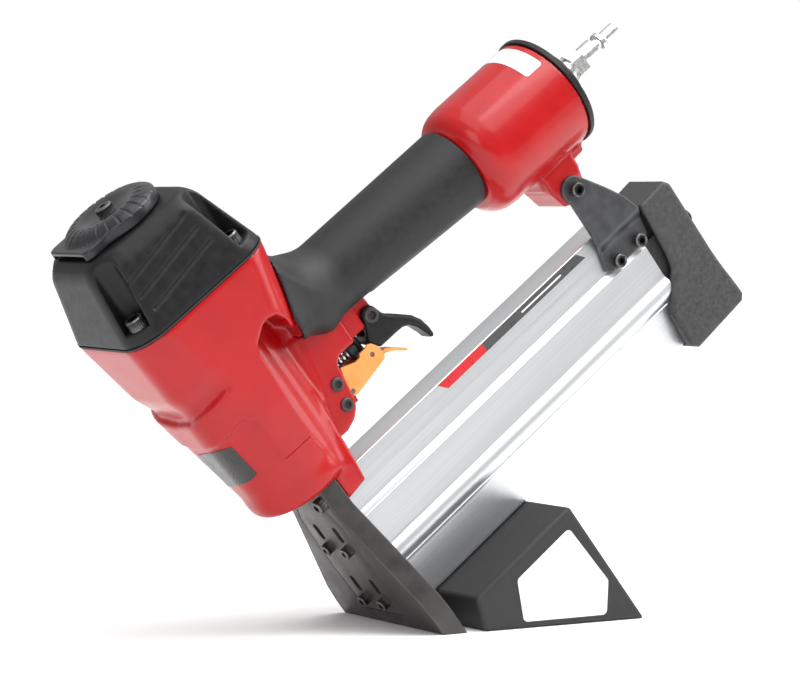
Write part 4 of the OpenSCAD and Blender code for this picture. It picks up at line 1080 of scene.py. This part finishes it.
# ---- finishes of the CAD nodes that stay ----
nodeFinishes = [
    (rubberBlack, ["cap_gasket", "sleeve_o_rings", "piston_o_ring", "bumper", "head_valve_o_ring",
                   "reservoir_o_ring", "lever_spring_seat", "tail_block"]),
    (bareAluminium, ["cylinder_sleeve", "piston"]),
    (brightSteel, ["driver_blade", "nail_rail", "pusher_roll_pin", "foot_t_nuts"]),
    (whitePlastic, ["head_valve"]),
    (springSteel, ["head_valve_spring", "valve_spring", "trigger_spring", "lever_spring", "pusher_spring"]),
    (plugNickel, ["air_plug"]),
    (brass, ["valve_body"]),
    (blackOxide, ["valve_stem", "lever_pin", "lever_roller", "pusher"]),
    (orangePaint, ["safety_lever"]),
    (screwSteel, ["magazine_front_screws", "foot_clamp_screws"]),
    (magazineLabelPrint, ["magazine_label"]),
    (labelWhite, ["foot_labels"]),
]
for finish, names in nodeFinishes:
    for nodeName in names:
        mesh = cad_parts[nodeName].data
        mesh.materials.clear()
        mesh.materials.append(finish)

# ---- floor, light and camera ----
studio = {
    "world": 0.8,
    "horizon": 0.3,
    "backdrop": 1.02,
    "sun": 2.0,
    "sunSpread": 75,
    "lens": 138.15,
}
floorMesh = bpy.data.meshes.new("studioFloor")
floorMesh.from_pydata([(-6, -6, 0), (6, -6, 0), (6, 6, 0), (-6, 6, 0)], [], [(0, 1, 2, 3)])
floorFinish = newFinish("floorFinish", (0.92, 0.92, 0.92), (0.94, 0.94, 0.94), 0.7, 0.03, grain=3)
studioFloor = addObject("studioFloor", floorMesh, floorFinish)

world = bpy.data.worlds.new("studioWorld")
bpy.context.scene.world = world
world.use_nodes = True
sky = world.node_tree.nodes["Background"]
sky.inputs["Color"].default_value = (1, 1, 1, 1)
direction = world.node_tree.nodes.new("ShaderNodeTexCoord")
height = world.node_tree.nodes.new("ShaderNodeSeparateXYZ")
strength = world.node_tree.nodes.new("ShaderNodeMapRange")
strength.inputs["From Max"].default_value = 0.8
strength.inputs["To Min"].default_value = studio["horizon"]
strength.inputs["To Max"].default_value = studio["world"]
world.node_tree.links.new(direction.outputs["Generated"], height.inputs[0])
world.node_tree.links.new(height.outputs["Z"], strength.inputs["Value"])
world.node_tree.links.new(strength.outputs[0], sky.inputs["Strength"])
backdrop = world.node_tree.nodes.new("ShaderNodeBackground")
backdrop.inputs["Color"].default_value = (1, 1, 1, 1)
backdrop.inputs["Strength"].default_value = studio["backdrop"]
rays = world.node_tree.nodes.new("ShaderNodeLightPath")
either = world.node_tree.nodes.new("ShaderNodeMixShader")
world.node_tree.links.new(rays.outputs["Is Camera Ray"], either.inputs[0])
world.node_tree.links.new(sky.outputs[0], either.inputs[1])
world.node_tree.links.new(backdrop.outputs[0], either.inputs[2])
world.node_tree.links.new(either.outputs[0], world.node_tree.nodes["World Output"].inputs["Surface"])
sun = bpy.data.lights.new("skylight", "SUN")
sun.energy = studio["sun"]
sun.angle = math.radians(studio["sunSpread"])
sunHolder = bpy.data.objects.new("skylight", sun)
sunHolder.rotation_euler = Vector((-0.12, 0.25, -1)).to_track_quat("-Z", "Y").to_euler()
bpy.context.scene.collection.objects.link(sunHolder)


def softLight(name, spot, aim, size, power):
    lamp = bpy.data.lights.new(name, "AREA")
    lamp.shape = "RECTANGLE"
    lamp.size, lamp.size_y = size
    lamp.energy = power
    holder = bpy.data.objects.new(name, lamp)
    holder.location = spot
    holder.rotation_euler = (Vector(aim) - Vector(spot)).to_track_quat("-Z", "Y").to_euler()
    bpy.context.scene.collection.objects.link(holder)


middle = (0.02, 0, 0.16)
softLight("topSoftbox", (0.35, -0.35, 1.15), middle, (0.9, 0.7), 9)
softLight("leftSoftbox", (-1.1, -0.9, 0.75), middle, (0.7, 0.9), 5)
softLight("rightSoftbox", (1.1, -0.5, 0.7), middle, (0.6, 0.9), 6)

camera = bpy.data.cameras.new("camera")
camera.lens = studio["lens"]
camera.sensor_width = 36
cameraHolder = bpy.data.objects.new("camera", camera)
cameraHolder.location = (-0.8772, -1.4604, 0.2354)
aim = Vector((0.00028, 0, 0.158)) - cameraHolder.location
cameraHolder.rotation_euler = aim.to_track_quat("-Z", "Y").to_euler()
bpy.context.scene.collection.objects.link(cameraHolder)
bpy.context.scene.camera = cameraHolder
bpy.context.scene.view_settings.view_transform = "Standard"
print("scene ready")
